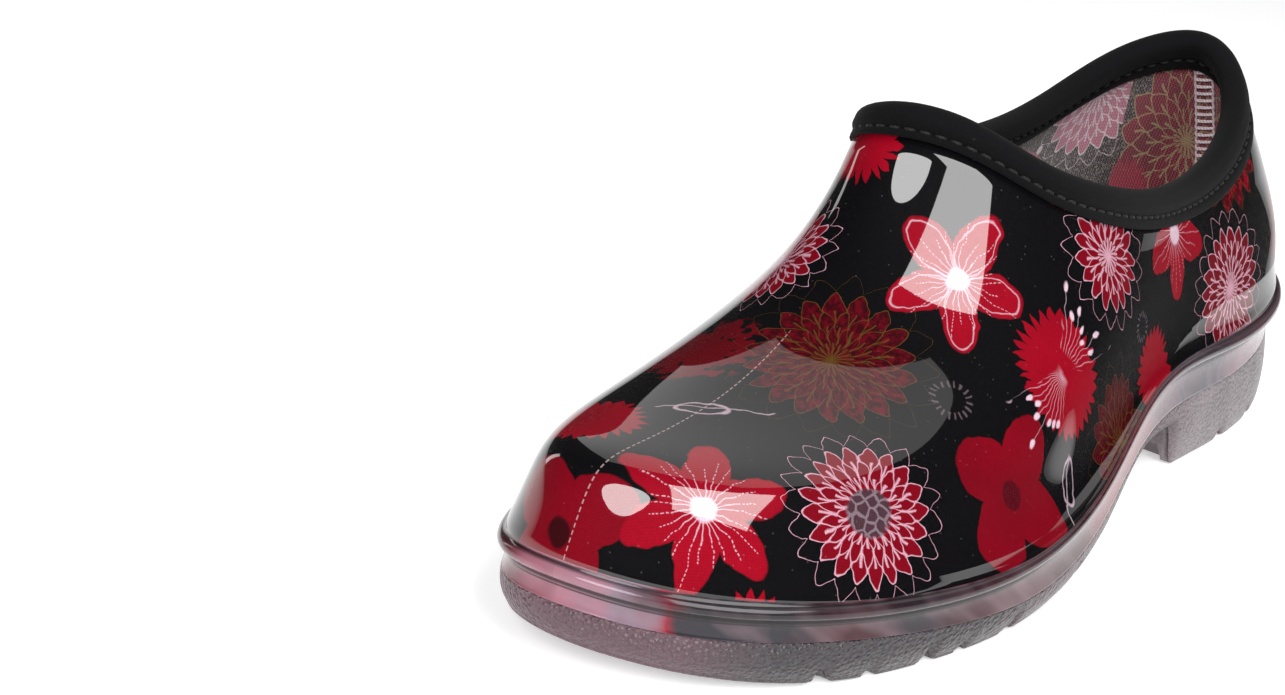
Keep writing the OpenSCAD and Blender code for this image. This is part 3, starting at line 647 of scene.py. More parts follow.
def mat_gloss_print():
    """Printed knit under clear, wet-looking moulded plastic."""
    m, g, bs = material("clear_gloss_upper", **{"Coat Weight": 1.0, "Coat Roughness": 0.025, "Coat IOR": 1.60, "Specular IOR Level": 0.04, "IOR": 1.45})
    pl = g.attr("print_mm"); col = use_print(g, pl)
    x, y, z = g.xyz(pl)
    # the sock's flat seam over the toe shows through as a thin dotted thread
    sx = g.m('MULTIPLY_ADD', g.m('SINE', g.mul(y, 0.05)), 0.7, 1.6)
    th = g.mul(g.lt(g.m('ABSOLUTE', g.sub(x, sx)), 0.13, 0.14), g.mul(g.lt(y, -60.0, 3.0), g.gt(g.m('SINE', g.mul(y, 2*math.pi/1.5)), -0.35, 0.5)))
    col = g.mix(g.mul(th, 0.6), col, (0.46, 0.33, 0.32))
    g.put(bs.inputs['Base Color'], col)
    w1 = g.mul(g.m('SINE', g.mul(x, 2*math.pi/0.86)), g.m('SINE', g.mul(y, 2*math.pi/0.72)))
    g.put(bs.inputs['Roughness'], g.m('MULTIPLY_ADD', g.noise(pl, 0.5, 2.0), 0.22, 0.46))
    g.put(bs.inputs['Normal'], g.bump(w1, 0.03, 0.35))
    # the moulded skin is not quite even
    sw = g.noise(g.coords(), 26.0, 2.0, 0.45)
    st = g.attr("station", 'Fac'); row = g.attr("row_mm", 'Fac')
    edge_row = g.mul(g.sep(g.ramp(st, [(0.0, (0.22,)*3), (0.12, (0.22,)*3), (0.18, (0.30,)*3), (0.25, (0.27,)*3), (0.30, (0.23,)*3), (0.318, (0.31,)*3), (0.325, (0.802,)*3), (0.36, (0.8045,)*3), (0.40, (0.8055,)*3), (1.0, (0.8055,)*3)])), 25.0)
    over = g.gt(g.sub(row, edge_row), 0.0, 0.02)
    under = g.mul(g.m('SUBTRACT', 1.0, over), g.mul(g.gt(st, 0.128, 0.02), g.lt(st, 0.262, 0.03)))
    tilt = g.sep(g.ramp(st, [(0.19, (0.0,)*3), (0.205, (0.32,)*3), (0.228, (0.78,)*3), (0.27, (0.72,)*3), (0.33, (0.60,)*3), (0.36, (0.36,)*3), (0.45, (0.36,)*3), (0.48, (0.0,)*3)])); hx, hy, hz = g.xyz(g.coords()); tilt = g.mul(tilt, g.lt(hz, 0.054, 0.014))
    lean = g.m('MULTIPLY_ADD', over, tilt, g.mul(under, -0.50))
    nb = g.bump(sw, 0.22, 0.5)
    g.put(bs.inputs['Coat Normal'], g.vm('NORMALIZE', g.vm('ADD', nb, g.vec(0.0, 0.0, lean))))
    return m


def mat_rand():
    """Thick clear plastic of the bead and the band: the print only shows as blurred colour."""
    m, g, bs = material("translucent_rand", **{"Coat Weight": 0.6, "Coat Roughness": 0.05, "Coat IOR": 1.42, "IOR": 1.42, "Specular IOR Level": 0.2, "Subsurface Scale": 0.002})
    st = g.attr("station", 'Fac'); pl = g.attr("print_mm"); row = g.attr("row_mm", 'Fac')
    a = g.mul(st, 2*math.pi)
    side = g.vec(g.m('SINE', a), g.m('COSINE', a))
    wav = g.m('MULTIPLY_ADD', g.noise(pl, 0.10, 1.0, out=0), 0.035, g.sub(st, 0.0175))
    stops = [(0.0, (0.30, 0.13, 0.17)), (0.018, (0.26, 0.13, 0.17)), (0.032, (0.19, 0.14, 0.18)), (0.043, (0.22, 0.006, 0.02)), (0.050, (0.020, 0.018, 0.024)), (0.085, (0.018, 0.017, 0.023)),
             (0.105, (0.045, 0.006, 0.010)), (0.125, (0.022, 0.018, 0.024)), (0.155, (0.050, 0.012, 0.018)), (0.185, (0.10, 0.055, 0.065)), (0.21, (0.035, 0.006, 0.009)), (0.25, (0.17, 0.004, 0.012)),
             (0.285, (0.16, 0.045, 0.06)), (0.315, (0.08, 0.05, 0.065)), (0.345, (0.05, 0.045, 0.06)), (0.375, (0.16, 0.08, 0.10)), (0.42, (0.22, 0.17, 0.18)), (0.5, (0.10, 0.045, 0.055)),
             (0.56, (0.16, 0.005, 0.012)), (0.62, (0.022, 0.020, 0.024)), (0.68, (0.13, 0.06, 0.07)), (0.74, (0.04, 0.035, 0.045)), (0.80, (0.15, 0.015, 0.022)), (0.86, (0.022, 0.020, 0.024)),
             (0.92, (0.09, 0.05, 0.06)), (0.965, (0.13, 0.025, 0.035)), (1.0, (0.30, 0.13, 0.17))]
    col = g.ramp(wav, stops)
    cloud = g.noise(g.vm('MULTIPLY', pl, (0.5, 1.0, 1.0)), 0.16, 1.5, 0.45)
    col = g.mix(g.mul(g.gt(cloud, 0.56, 0.20), 0.35), col, (0.20, 0.13, 0.15))
    # painted shade: the colour is darkened in the two grooves beside the bead, where shade falls
    dark = g.mx(g.lt(g.m('ABSOLUTE', g.sub(row, -1.9)), 0.30, 0.35), g.lt(g.m('ABSOLUTE', g.sub(row, 1.7)), 0.30, 0.35))
    col = g.mix(g.mul(dark, 0.85), col, (0.006, 0.004, 0.005))
    rim = g.mul(g.lt(g.m('ABSOLUTE', row), 1.6, 0.4), g.mul(g.gt(st, 0.030, 0.012), g.lt(st, 0.97, 0.02)))
    col = g.mix(g.mul(rim, 0.6), col, (0.012, 0.008, 0.010))
    g.put(bs.inputs['Base Color'], col)
    bs.inputs['Subsurface Weight'].default_value = 0.25; bs.inputs['Subsurface Radius'].default_value = (1.0, 0.5, 0.5)
    g.put(bs.inputs['Roughness'], g.m('MULTIPLY_ADD', cloud, 0.15, 0.16))
    g.put(bs.inputs['Normal'], g.bump(g.noise(g.coords(), 120.0, 2.0, 0.5), 0.06, 0.3))
    return m


def mat_sole():
    """Smoky, faintly pink translucent plastic with a pebbled side and a smoother tread."""
    m, g, bs = material("translucent_sole", **{"Coat Weight": 0.2, "Coat Roughness": 0.16, "IOR": 1.48, "Subsurface Scale": 0.004})
    co = g.coords(); x, y, z = g.xyz(co)
    cloud = g.noise(co, 34.0, 3.0, 0.55)
    pink = g.noise(co, 13.0, 1.0, 0.4)
    col = g.mix(g.gt(pink, 0.5, 0.3), (0.085, 0.062, 0.074), (0.105, 0.056, 0.070))
    toe = g.lt(y, -0.121, 0.012)
    col = g.mix(toe, col, (0.105, 0.048, 0.066))
    mid = g.mul(g.gt(y, -0.119, 0.014), g.lt(y, -0.050, 0.03))
    col = g.mix(g.mul(mid, 0.85), col, (0.010, 0.009, 0.012))
    heel = g.gt(y, 0.045, 0.03)
    col = g.mix(heel, col, (0.23, 0.195, 0.21))
    col = g.mix(g.mul(g.gt(cloud, 0.5, 0.3), 0.35), col, (0.02, 0.014, 0.017))
    # painted light: the lowest few millimetres of the sole are lightened, standing in for the white floor's light
    # showing through the plastic
    low = g.lt(z, 0.004, 0.006)
    col = g.mix(g.mul(low, 0.12), col, (0.20, 0.16, 0.17))
    g.put(bs.inputs['Base Color'], col)
    bs.inputs['Subsurface Weight'].default_value = 0.2; bs.inputs['Subsurface Radius'].default_value = (1.0, 0.62, 0.66)
    peb = g.voronoi(co, 980.0, 'F1'); fine = g.noise(co, 1500.0, 2.0, 0.6)
    h = g.m('MULTIPLY_ADD', fine, 0.35, g.mul(peb, -1.0))
    under = g.attr("smooth", 'Fac')
    h = g.mul(h, g.m('MULTIPLY_ADD', under, -0.75, 1.0))
    nb = g.bump(h, 0.80, 1.0)
    g.put(bs.inputs['Normal'], nb); g.put(bs.inputs['Coat Normal'], nb)
    g.put(bs.inputs['Roughness'], g.m('MULTIPLY_ADD', g.mx(g.gt(peb, 0.35, 0.4), 0.2), 0.25, 0.17))
    return m


def mat_lining():
    """Knit sock seen from inside: the print turned paler, with the loops of the knit."""
    m, g, bs = material("printed_knit", **{"Sheen Weight": 0.25, "Sheen Roughness": 0.5, "Specular IOR Level": 0.25, "Roughness": 0.85})
    pl = g.attr("print_mm"); x, y, z = g.xyz(pl)
    st = g.attr("station", 'Fac'); cx, cy, cz = g.xyz(g.coords())
    u = g.sub(g.m('FLOORED_MODULO', g.m('MULTIPLY_ADD', st, 560.0, -280.0+78.0), 112.0), 30.0)
    p = g.vec(u, g.mul(cz, 1000.0), 1.0)
    wob = g.vm('SCALE', g.vm('SUBTRACT', g.noise(p, 0.16, 2.0, 0.55, out=1), (0.5, 0.5, 0.5)), scale=2.6)
    p = g.vm('ADD', g.vm('MULTIPLY', g.vm('ADD', p, wob), (1, 1, 0)), (0, 0, 1))
    col = g.mix(g.gt(g.noise(p, 1.7, 1.0, 0.5), 0.58, 0.06), (0.012, 0.010, 0.011), (0.22, 0.19, 0.17))
    def lay(mask, colour):
        nonlocal col
        col = g.mix(mask, col, colour)
    rf, rl, _, _ = g.chrys(p, 56, 58, 25, 5.2, 15, 0.34, asp=1.0, deg=15, c=0.85)
    lay(rf, g.mix(g.noise(p, 0.12, 1.0), (0.10, 0.004, 0.014), (0.30, 0.010, 0.035))); lay(g.mul(rl, 0.85), (0.40, 0.30, 0.14))
    lay(g.mx(g.ell(p, 15, 48, 17, 10, 12, 1.2), g.ell(p, 27, 40, 13, 8, -30, 1.2)), (0.46, 0.09, 0.16))
    lay(g.mx(g.jag(p, 34, 76, 13, 6, 30, 20, 0.4), g.jag(p, 76, 40, 12, 9, 60, 18, 0.4)), (0.34, 0.012, 0.04))
    wf, wl, _, _ = g.chrys(p, -15, 74, 22, 4.4, 21, 0.34, asp=1.0, c=0.8)
    lay(wf, (0.50, 0.17, 0.24)); lay(wl, (0.72, 0.60, 0.65))
    lay(g.mx(g.ell(p, 6, 57, 1.5, 1.5, 0, 0.6), g.ell(p, 11, 50, 1.7, 1.7, 0, 0.6), g.ell(p, 5, 46, 1.3, 1.3, 0, 0.6), g.ell(p, 22, 78, 1.4, 1.4, 0, 0.6)), (0.74, 0.62, 0.66))
    a = g.m('SINE', g.mul(x, 2*math.pi/1.05)); b = g.m('SINE', g.mul(g.add(y, g.mul(g.m('SINE', g.mul(x, 2*math.pi/1.05)), 0.12)), 2*math.pi/0.95))
    loop = g.mul(a, b)
    dots = g.gt(loop, 0.45, 0.5)
    col = g.mix(g.mul(dots, 0.34), col, (0.62, 0.46, 0.46))
    col = g.mix(g.mul(g.lt(a, -0.75, 0.3), 0.30), col, (0.06, 0.012, 0.02))
    g.put(bs.inputs['Base Color'], col)
    g.put(bs.inputs['Roughness'], g.m('MULTIPLY_ADD', dots, -0.1, 0.88))
    g.put(bs.inputs['Normal'], g.bump(loop, 0.14, 0.8))
    return m


def mat_binding():
    """Matt black knit tape with a little lint and soft sheen."""
    m, g, bs = material("black_binding", **{"Sheen Weight": 0.03, "Sheen Roughness": 0.5, "Specular IOR Level": 0.06})
    co = g.coords(); pl = g.attr("print_mm"); x, y, z = g.xyz(pl)
    fib = g.noise(g.vec(g.mul(x, 1.0), g.mul(y, 1.0), 0.0), 1.6, 3.0, 0.65)
    rib = g.m('SINE', g.m('MULTIPLY_ADD', g.add(x, y), 2*math.pi/0.62, 0)); cr2 = g.m('SINE', g.mul(g.sub(x, y), 2*math.pi/0.62))
    wv = g.mul(rib, cr2)
    col = g.mix(g.mul(fib, 0.8), (0.0016, 0.0016, 0.0019), (0.0052, 0.0052, 0.0060))
    lint = g.mul(g.gt(g.noise(co, 900.0, 1.0, 0.5), 0.74, 0.03), 0.03)
    col = g.mix(lint, col, (0.25, 0.25, 0.27))
    # the colour is a little lighter along the crest of the rolled rim
    roll_crest_lighter = g.lt(g.m('ABSOLUTE', g.sub(g.attr("row_mm", 'Fac'), 0.0)), 2.0, 3.0)
    col = g.mix(g.mul(roll_crest_lighter, 0.3), col, (0.0075, 0.0075, 0.0085))
    g.put(bs.inputs['Base Color'], col)
    g.put(bs.inputs['Roughness'], g.m('MULTIPLY_ADD', fib, 0.15, 0.78))
    g.put(bs.inputs['Normal'], g.bump(g.m('MULTIPLY_ADD', fib, 0.8, g.mul(wv, 0.5)), 0.10, 0.55))
    return m


def mat_thread(name, c0, c1, rough=0.6):
    m, g, bs = material(name, **{"Sheen Weight": 0.05, "Specular IOR Level": 0.2})
    co = g.coords(); tw = g.n('ShaderNodeTexWave', wave_type='BANDS', bands_direction='DIAGONAL')
    g.put(tw.inputs['Vector'], co); tw.inputs['Scale'].default_value = 620.0; tw.inputs['Distortion'].default_value = 1.5
    g.put(bs.inputs['Base Color'], g.mix(tw.outputs['Fac'], c0, c1))
    g.put(bs.inputs['Roughness'], g.m('MULTIPLY_ADD', g.noise(co, 700.0, 2.0), 0.2, rough-0.1))
    g.put(bs.inputs['Normal'], g.bump(tw.outputs['Fac'], 0.08, 0.6))
    return m


def mat_board():
    """Pressed fibre board: mottled grey-buff with short fibres."""
    m, g, bs = material("board", **{"Specular IOR Level": 0.25})
    co = g.coords(); f1 = g.noise(co, 240.0, 4.0, 0.65); f2 = g.noise(g.vm('MULTIPLY', co, (1.0, 0.15, 1.0)), 900.0, 2.0)
    col = g.mix(f1, (0.32, 0.28, 0.23), (0.55, 0.50, 0.43)); col = g.mix(g.mul(g.gt(f2, 0.62, 0.05), 0.4), col, (0.22, 0.18, 0.14))
    g.put(bs.inputs['Base Color'], col); g.put(bs.inputs['Roughness'], g.m('MULTIPLY_ADD', f1, 0.15, 0.78)); g.put(bs.inputs['Normal'], g.bump(f2, 0.06, 0.5))
    return m


def mat_foam():
    """Closed-cell black foam: fine open pores on the cut faces."""
    m, g, bs = material("black_foam", **{"Sheen Weight": 0.15, "Specular IOR Level": 0.3})
    co = g.coords(); cells = g.voronoi(co, 1150.0, 'F1'); sp = g.noise(co, 90.0, 2.0)
    col = g.mix(sp, (0.010, 0.010, 0.011), (0.026, 0.026, 0.028)); col = g.mix(g.mul(g.lt(cells, 0.25, 0.2), 0.6), col, (0.003, 0.003, 0.003))
    g.put(bs.inputs['Base Color'], col); g.put(bs.inputs['Roughness'], g.m('MULTIPLY_ADD', sp, 0.15, 0.72)); g.put(bs.inputs['Normal'], g.bump(cells, 0.22, 0.7))
    return m


def mat_mesh():
    """Black air-mesh cloth: a close grid of small holes."""
    m, g, bs = material("black_mesh", **{"Sheen Weight": 0.35, "Sheen Roughness": 0.4, "Specular IOR Level": 0.35})
    co = g.coords(); x, y, z = g.xyz(co); k = 2*math.pi/0.0021
    row = g.m('SINE', g.mul(y, k)); colm = g.m('SINE', g.m('MULTIPLY_ADD', x, k*0.86, g.mul(g.m('SIGN', row), 0.8)))
    net = g.m('ABSOLUTE', g.mul(row, colm)); hole = g.gt(net, 0.50, 0.2)
    spk = g.noise(co, 1100.0, 1.0)
    col = g.mix(hole, (0.030, 0.030, 0.032), (0.003, 0.003, 0.003)); col = g.mix(g.mul(g.gt(spk, 0.64, 0.06), 0.5), col, (0.10, 0.10, 0.10))
    g.put(bs.inputs['Base Color'], col); g.put(bs.inputs['Roughness'], g.m('MULTIPLY_ADD', hole, 0.25, 0.6)); g.put(bs.inputs['Normal'], g.bump(net, 0.30, 0.9))
    return m


def mat_floor():
    m, g, bs = material("studio_floor", **{"Specular IOR Level": 0.2, "Emission Color": (1.0, 1.0, 1.0, 1.0), "Emission Strength": 0.42})
    n = g.noise(g.coords(), 6.0, 2.0)
    g.put(bs.inputs['Base Color'], g.mix(n, (0.80, 0.80, 0.805), (0.83, 0.83, 0.83))); g.put(bs.inputs['Roughness'], g.m('MULTIPLY_ADD', n, 0.1, 0.55))
    return m


M_GLOSS, M_RAND, M_SOLE, M_LIN, M_BIND = mat_gloss_print(), mat_rand(), mat_sole(), mat_lining(), mat_binding()
M_BLACK = mat_thread("black_thread", (0.004, 0.004, 0.0045), (0.012, 0.012, 0.013), 0.6)
M_WHITE = mat_thread("white_thread", (0.60, 0.46, 0.50), (0.85, 0.76, 0.80), 0.6)
M_DARK = mat_thread("dark_thread", (0.02, 0.014, 0.016), (0.05, 0.035, 0.04), 0.6)
M_BOARD, M_FOAM, M_MESH, M_FLOOR = mat_board(), mat_foam(), mat_mesh(), mat_floor()


# ---------------------------------------------------------------- the moulded upper with its bead and band
N = 352
T = np.arange(N)/N
PO = plan_out(T); E0 = edge(T); R0 = bead(T); UPZ = np.array([0.0, 0.0, 1.0])
VB = below(T, lap(T)); V2 = np.array(1-below(T, 1.0))  # topline side
VLEN = np.linalg.norm(on(T, np.full(N, 0.03))-R0, axis=-1)/0.03      # mm per unit of v near the bead


def vat(w): return w/VLEN


rows, vrow, srow, mrow = [], [], [], []


def add(p, v, s, m):
    rows.append(p); vrow.append(np.zeros(N)+v); srow.append(np.zeros(N)+s); mrow.append(m)


LEN_R = np.linalg.norm(R0-E0, axis=-1)
add(E0+UPZ*GLUE, -vat(LEN_R), -LEN_R, 1)
for f in (0.06, 0.14, 0.25, 0.38, 0.52, 0.66, 0.78):
    p = E0*(1-f)+(R0-0.9*PO-UPZ*1.9)*f - PO*(0.5*math.sin(math.pi*f))
    add(p, -vat(LEN_R*(1-f)), -LEN_R*(1-f), 1)
base = R0-0.9*PO-UPZ*1.9
add(base-PO*0.15+UPZ*0.0, -vat(2.2), -2.2, 1)
add(base-PO*0.50+UPZ*0.35, -vat(1.9), -1.9, 1)
add(base-PO*0.10+UPZ*0.62, -vat(1.6), -1.6, 1)
cen = R0-PO*0.75-UPZ*0.15
for an in (-62, -42, -20, 2, 24, 46, 66):
    a = math.radians(an); add(cen+1.45*(PO*math.cos(a)+UPZ*math.sin(a)), -vat(-0.02*an), 0.02*an, 1)
VG = vat(2.4)
n_up = out_of(T, VG)
add(on(T, vat(1.7))-0.45*n_up, vat(1.7), 1.7, 1)
add(on(T, VG)-0.16*n_up, vat(2.4), 2.4, 0)
for w in (3.2, 4.4, 6.0, 8.0):
    add(on(T, vat(w)), vat(w), w, 0)
V8 = vat(8.0)
for f in np.linspace(0, 1, 46)[1:]:
    v = V8+(VB*1.004-V8)*f; add(on(T, v), v, 20+f, 0)
vt = VB+0.012*(1-VB)
add(deep(T, vt, np.full(N, 0.9)), vt, 22, 0)
for f in np.linspace(1, 0, 13):
    p = wall(T, f, SHELL_T); v = v_in(T)+(VB-v_in(T))*f; add(p, v, 30, 0)
add(drop(T, SHELL_T, GLUE), v_in(T)-0.02, 31, 1)
upper = ring_mesh("upper_moulding", rows, [M_GLOSS, M_RAND], mrow, np.stack(vrow), np.stack(srow))
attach(upper, "clog"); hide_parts("upper_shell")

# ---------------------------------------------------------------- knit lining
D0, D1 = SHELL_T+GLUE, SHELL_T+GLUE+LINING_T
VR = below(T, ROLL_R)
rows, vrow = [drop(T, D0, 1.5*GLUE)], [v_in(T)-0.03]
IN = np.linspace(0, 1, 30)
for f in IN: rows.append(wall(T, f, D0)); vrow.append(v_in(T)+(VB-v_in(T))*f)
for f in (0.35, 0.7, 0.95): rows.append(deep(T, VB+(VR-VB)*f, np.full(N, D0))); vrow.append(VB+(VR-VB)*f)
for f in (0.95, 0.7, 0.35): rows.append(deep(T, VB+(VR-VB)*f, np.full(N, D1))); vrow.append(VB+(VR-VB)*f)
# the sock is soft: it stands off the moulding by small uneven amounts
for f in IN[::-1]:
    puff = 0.16*np.sin(2*math.pi*T*9+3*f)*math.sin(math.pi*f)+0.12*np.sin(2*math.pi*T*23-7*f)*math.sin(math.pi*f)
    rows.append(wall(T, f, D1)-(0.0 if f == 0 else 1.0)*np.abs(puff)[:, None]*out_of(T, v_in(T)+(VB-v_in(T))*f)); vrow.append(v_in(T)+(VB-v_in(T))*f)
rows.append(drop(T, D1, 1.5*GLUE)); vrow.append(v_in(T)-0.03)
lining = ring_mesh("knit_lining", rows, [M_LIN], None, np.stack(vrow))
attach(lining, "clog"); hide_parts("lining")

# ---------------------------------------------------------------- topline binding: stitched flat edge, groove and rolled rim
rows, vrow, srow = [], [], []


def wave(w):                 # the tape puckers a little at each stitch
    return 0.07*np.sin(2*math.pi*T*92)*math.exp(-((w-8.7)/1.6)**2)


def fit(w, t): return w+0*t if w < 3.2 else 3.2+(w-3.2)*(lap(t)-3.2)/9.8      # the tape's lap in proportion to its width


def outer(w, h):
    h = h+wave(w); w = fit(w, T); v = below(T, w)
    rows.append(on(T, v)+np.asarray(h)[..., None]*out_of(T, v)); vrow.append(v); srow.append(w)


outer(13.0, 0.02); outer(13.05, 0.35)
for w, h in ((12.8, 0.62), (12.3, 0.78), (11.4, 0.82), (10.4, 0.80), (9.7, 0.68), (9.2, 0.38), (8.8, 0.10), (8.5, 0.06), (8.1, 0.22), (7.6, 0.55), (6.9, 0.88), (6.0, 1.14),
             (5.0, 1.28), (4.0, 1.30), (3.2, 1.24)):
    outer(w, h)
vr = below(T, ROLL_R); nr = out_of(T, vr); ur = unit(on(T, vr+0.005)-on(T, vr)); cr0 = on(T, vr)-ROLL_R*nr
for an in range(0, 181, 15):
    a = math.radians(an); rad = ROLL_R+1.15-0.30*an/180+0.0*T
    if an > 90: rad = ROLL_R+1.0-0.35*(an-90)/90
    rows.append(cr0+np.asarray(rad)[..., None]*(math.cos(a)*nr+0.82*math.sin(a)*ur) if np.ndim(rad) else cr0+rad*(math.cos(a)*nr+0.82*math.sin(a)*ur))
    vrow.append(vr+(1-vr)*math.sin(a)); srow.append(ROLL_R*math.cos(a) if an < 90 else 0.0)


def inner(w, d):
    d = np.full(N, d)-wave(w); w = fit(w, T); v = below(T, w); rows.append(deep(T, v, d)); vrow.append(v); srow.append(w)


for w, d in ((3.4, 5.42), (4.4, 5.40), (5.4, 5.30), (6.4, 5.10), (7.2, 4.80), (7.9, 4.40), (8.4, 4.08), (8.8, 4.05), (9.3, 4.35), (10.0, 4.62), (11.0, 4.70), (12.0, 4.62), (12.7, 4.40),
             (13.0, 4.0), (13.0, 3.52)):
    inner(w, d)
for w in (11.0, 8.0, 5.0, 3.0): inner(w, 3.50)
for w in (3.0, 6.0, 9.0, 12.0, 12.98): inner(w, SHELL_T-GLUE)
binding = ring_mesh("topline_binding_tape", rows, [M_BIND], None, np.stack(vrow), np.stack([np.zeros(N)+s for s in srow]))
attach(binding, "clog"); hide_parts("topline_binding")


def around_line(w, d, count, length):
    """Stations of a stitch row at distance w below the topline, evenly spaced along it."""
    tt = np.linspace(0, 1, 2001); vv = below(tt, fit(w, tt)); P = deep(tt, vv, np.full(2001, d)); s = np.concatenate([[0], np.cumsum(np.linalg.norm(np.diff(P, axis=0), axis=1))])
    pitch = s[-1]/count; s0 = np.arange(count)*pitch; s1 = s0+length
    at = lambda q: np.stack([np.interp(q % s[-1], s, P[:, k]) for k in range(3)], -1)
    tm = np.interp((s0+length/2) % s[-1], s, tt)
    return at(s0), at(s1), out_of(tm, below(tm, fit(w, tm)))


a, b, o = around_line(8.68, -0.30, 104, 2.75)
st_out = stitches("binding_stitches_outside", a, b, o, 0.34, M_BLACK)
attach(st_out, "clog"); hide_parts("binding_stitching")
a, b, o = around_line(8.62, 4.28, 98, 2.6)
st_in = stitches("binding_stitches_inside", a, b, -o, 0.34, M_BLACK)
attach(st_in, "clog"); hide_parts("binding_stitching")

# ---------------------------------------------------------------- overlocked back seam inside the heel
V, F = [], []
v0, v1 = 0.17, float(below(np.array([0.5]), fit(12.3, np.array([0.5])))[0])
tc = np.full(200, 0.5); vs = np.linspace(v0, v1, 200)
mid = deep(tc, vs, np.full(200, D1+0.22)); nin = -out_of(tc, vs); tan = unit(np.gradient(mid, axis=0)); sidev = unit(np.cross(tan, nin))
run = np.concatenate([[0], np.cumsum(np.linalg.norm(np.diff(mid, axis=0), axis=1))]); total = run[-1]


def along(s, off, lift):
    s = np.clip(np.asarray(s, float), 0, total)
    at = lambda A: np.stack([np.interp(s, run, A[:, k]) for k in range(3)], -1)
    return at(mid)+np.asarray(off, float)[..., None]*at(sidev)+np.asarray(lift, float)[..., None]*at(nin)


def push(name_parts):
    global V, F
    v, f = name_parts; k = len(V); V += list(v); F += [[q+k for q in face] for face in f]


steps = int(total/2.3)
for k in range(steps):
    s = 0.8+k*2.3; u = np.linspace(0, 1, 9)
    push(tube("x", along(s+u*1.5, -2.55+5.1*u, 0.18+0.25*np.sin(math.pi*u)), 0.27, None))
    push(tube("x", along(s+0.55+u*1.2, -2.45+4.9*u, 0.12+0.22*np.sin(math.pi*u)), 0.2, None))
for off in (-2.6, 2.6):
    m = 160; u = np.linspace(0, 1, m)
    push(tube("x", along(u*total, off+0.12*np.sin(u*total*2*math.pi/2.3), 0.12+0.10*np.abs(np.sin(u*total*math.pi/2.3))), 0.30, None))
ladder = mesh_object("back_seam_overlock", V, F, [M_WHITE])
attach(ladder, "clog"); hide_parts("back_seam_stitching")

# ---------------------------------------------------------------- outsole: pebbled wall, lugs, arch and heel block
NS = 704
TS = np.arange(NS)/NS
POS = plan_out(TS); ES = edge(TS); BS = bead(TS)


def smooth(a, b, x):
    s = np.clip((x-a)/(b-a), 0, 1); return s*s*(3-2*s)


def lug(x, y):
    """1 on a tread block, 0 on the ground between blocks."""
    g = np.zeros(np.shape(x))
    def slot(px, py, deg, half):
        a = math.radians(deg); d = np.abs(-(x-px)*math.sin(a)+(y-py)*math.cos(a))
        return 1-smooth(half-0.4, half+0.4, d)
    fore = smooth(-88.6, -87.8, y)*(1-smooth(1.6, 2.4, y)); cut = np.zeros(np.shape(x))
    for k in range(5): cut = np.maximum(cut, slot(0, -78+18*k, 8 if k % 2 == 0 else -8, GROOVE_W/2))
    for s in (-1, 1): cut = np.maximum(cut, slot(s*13, -43, 90+s*4, 1.5))
    g = np.maximum(g, fore*(1-cut))
    for k in range(3):
        y0 = -97-13*k; g = np.maximum(g, (1-smooth(3.6, 4.4, np.abs(y-y0))))
    heel = smooth(52.6, 53.4, y); cut = np.zeros(np.shape(x))
    for k in range(3): cut = np.maximum(cut, slot(0, 72+19*k, 0, GROOVE_W/2))
    cut = np.maximum(cut, (1-smooth(GROOVE_W/2-0.4, GROOVE_W/2+0.4, np.abs(x)))*smooth(62.6, 63.4, y)*(1-smooth(126.6, 127.4, y)))
    return np.maximum(g, heel*(1-cut))


def foot_z(x, y): return spring(y)+arch(y)+GROOVE_D*(1-lug(x, y))


NICKS = [(q, 0.0042, 2.3) for q in (0.1009, 0.1392, 0.1761, 0.2188, 0.3636, 0.3906, 0.425)]+[(q, 0.0028, 1.3) for q in (0.1179, 0.1534)]


def nick(t):
    """Small notches cut up into the tread's lower edge."""
    t = np.minimum(t, 1-t); h = np.zeros(np.shape(t))
    for c, half, deep_ in NICKS: h = np.maximum(h, deep_*(1-smooth(half*0.45, half*0.75, np.abs(t-c))))
    return h


def tread_z(x, y, i, f):
    """The blocks end in a continuous rim along the edge."""
    w = np.linalg.norm(FT[i, :2]-FT[(NS-i) % NS, :2]); e = np.minimum(f, 1-f)*w; s = 1-smooth(2.4, 3.4, e)
    n = np.where(np.asarray(f) < 0.5, nick(TS[i]), nick(TS[(NS-i) % NS]))
    return foot_z(x, y)*(1-s)+(spring(y)+arch(y)+n)*s


fin = np.asarray(around(FOOT_IN, TS))[:, None]
FT = BS-fin*POS
fz = spring(FT[:, 1])+arch(FT[:, 1])+nick(TS)
FT[:, 2] = fz
rim_in = FT-0.9*POS; rim_in[:, 2] = fz
sides = []
low_ring = rim_in
rd = 0.9
for an in (30, 60):
    a = math.radians(an); p = FT-rd*(1-math.sin(a))*POS; p[:, 2] = fz+rd*(1-math.cos(a)); sides.append(p)
wall0 = FT.copy(); wall0[:, 2] = fz+rd; sides.append(wall0)
for f in (0.07, 0.14, 0.22, 0.32, 0.44, 0.56, 0.68, 0.80, 0.90, 0.96):
    p = wall0*(1-f)+ES*f + POS*(0.9*math.sin(math.pi*f)**0.8*(1-0.3*f)); sides.append(p)
p = ES-0.05*POS; sides.append(p+0*p)
top_in = ES-0.6*POS
sole = web_mesh("outsole_moulding", low_ring, top_in, sides, [M_SOLE], 66, 8,
                tread_z, lambda x, y, i, f: (ES[i, 2]*(1-f)+ES[(NS-i) % NS, 2]*f))
me = sole.data
co = np.zeros(len(me.vertices)*3, np.float32); me.vertices.foreach_get("co", co); co = co.reshape(-1, 3)*1000
at = me.attributes.new("smooth", 'FLOAT', 'POINT')
inside = np.zeros(len(co), np.float32)
from_wall = len(co)-NS*len(sides)
inside[:from_wall] = 1.0
at.data.foreach_set("value", inside)
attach(sole, "clog"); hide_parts("outsole")

# ---------------------------------------------------------------- contoured footbed under a mesh cloth
NB = 352
TB = np.arange(NB)/NB
PB = plan_out(TB)


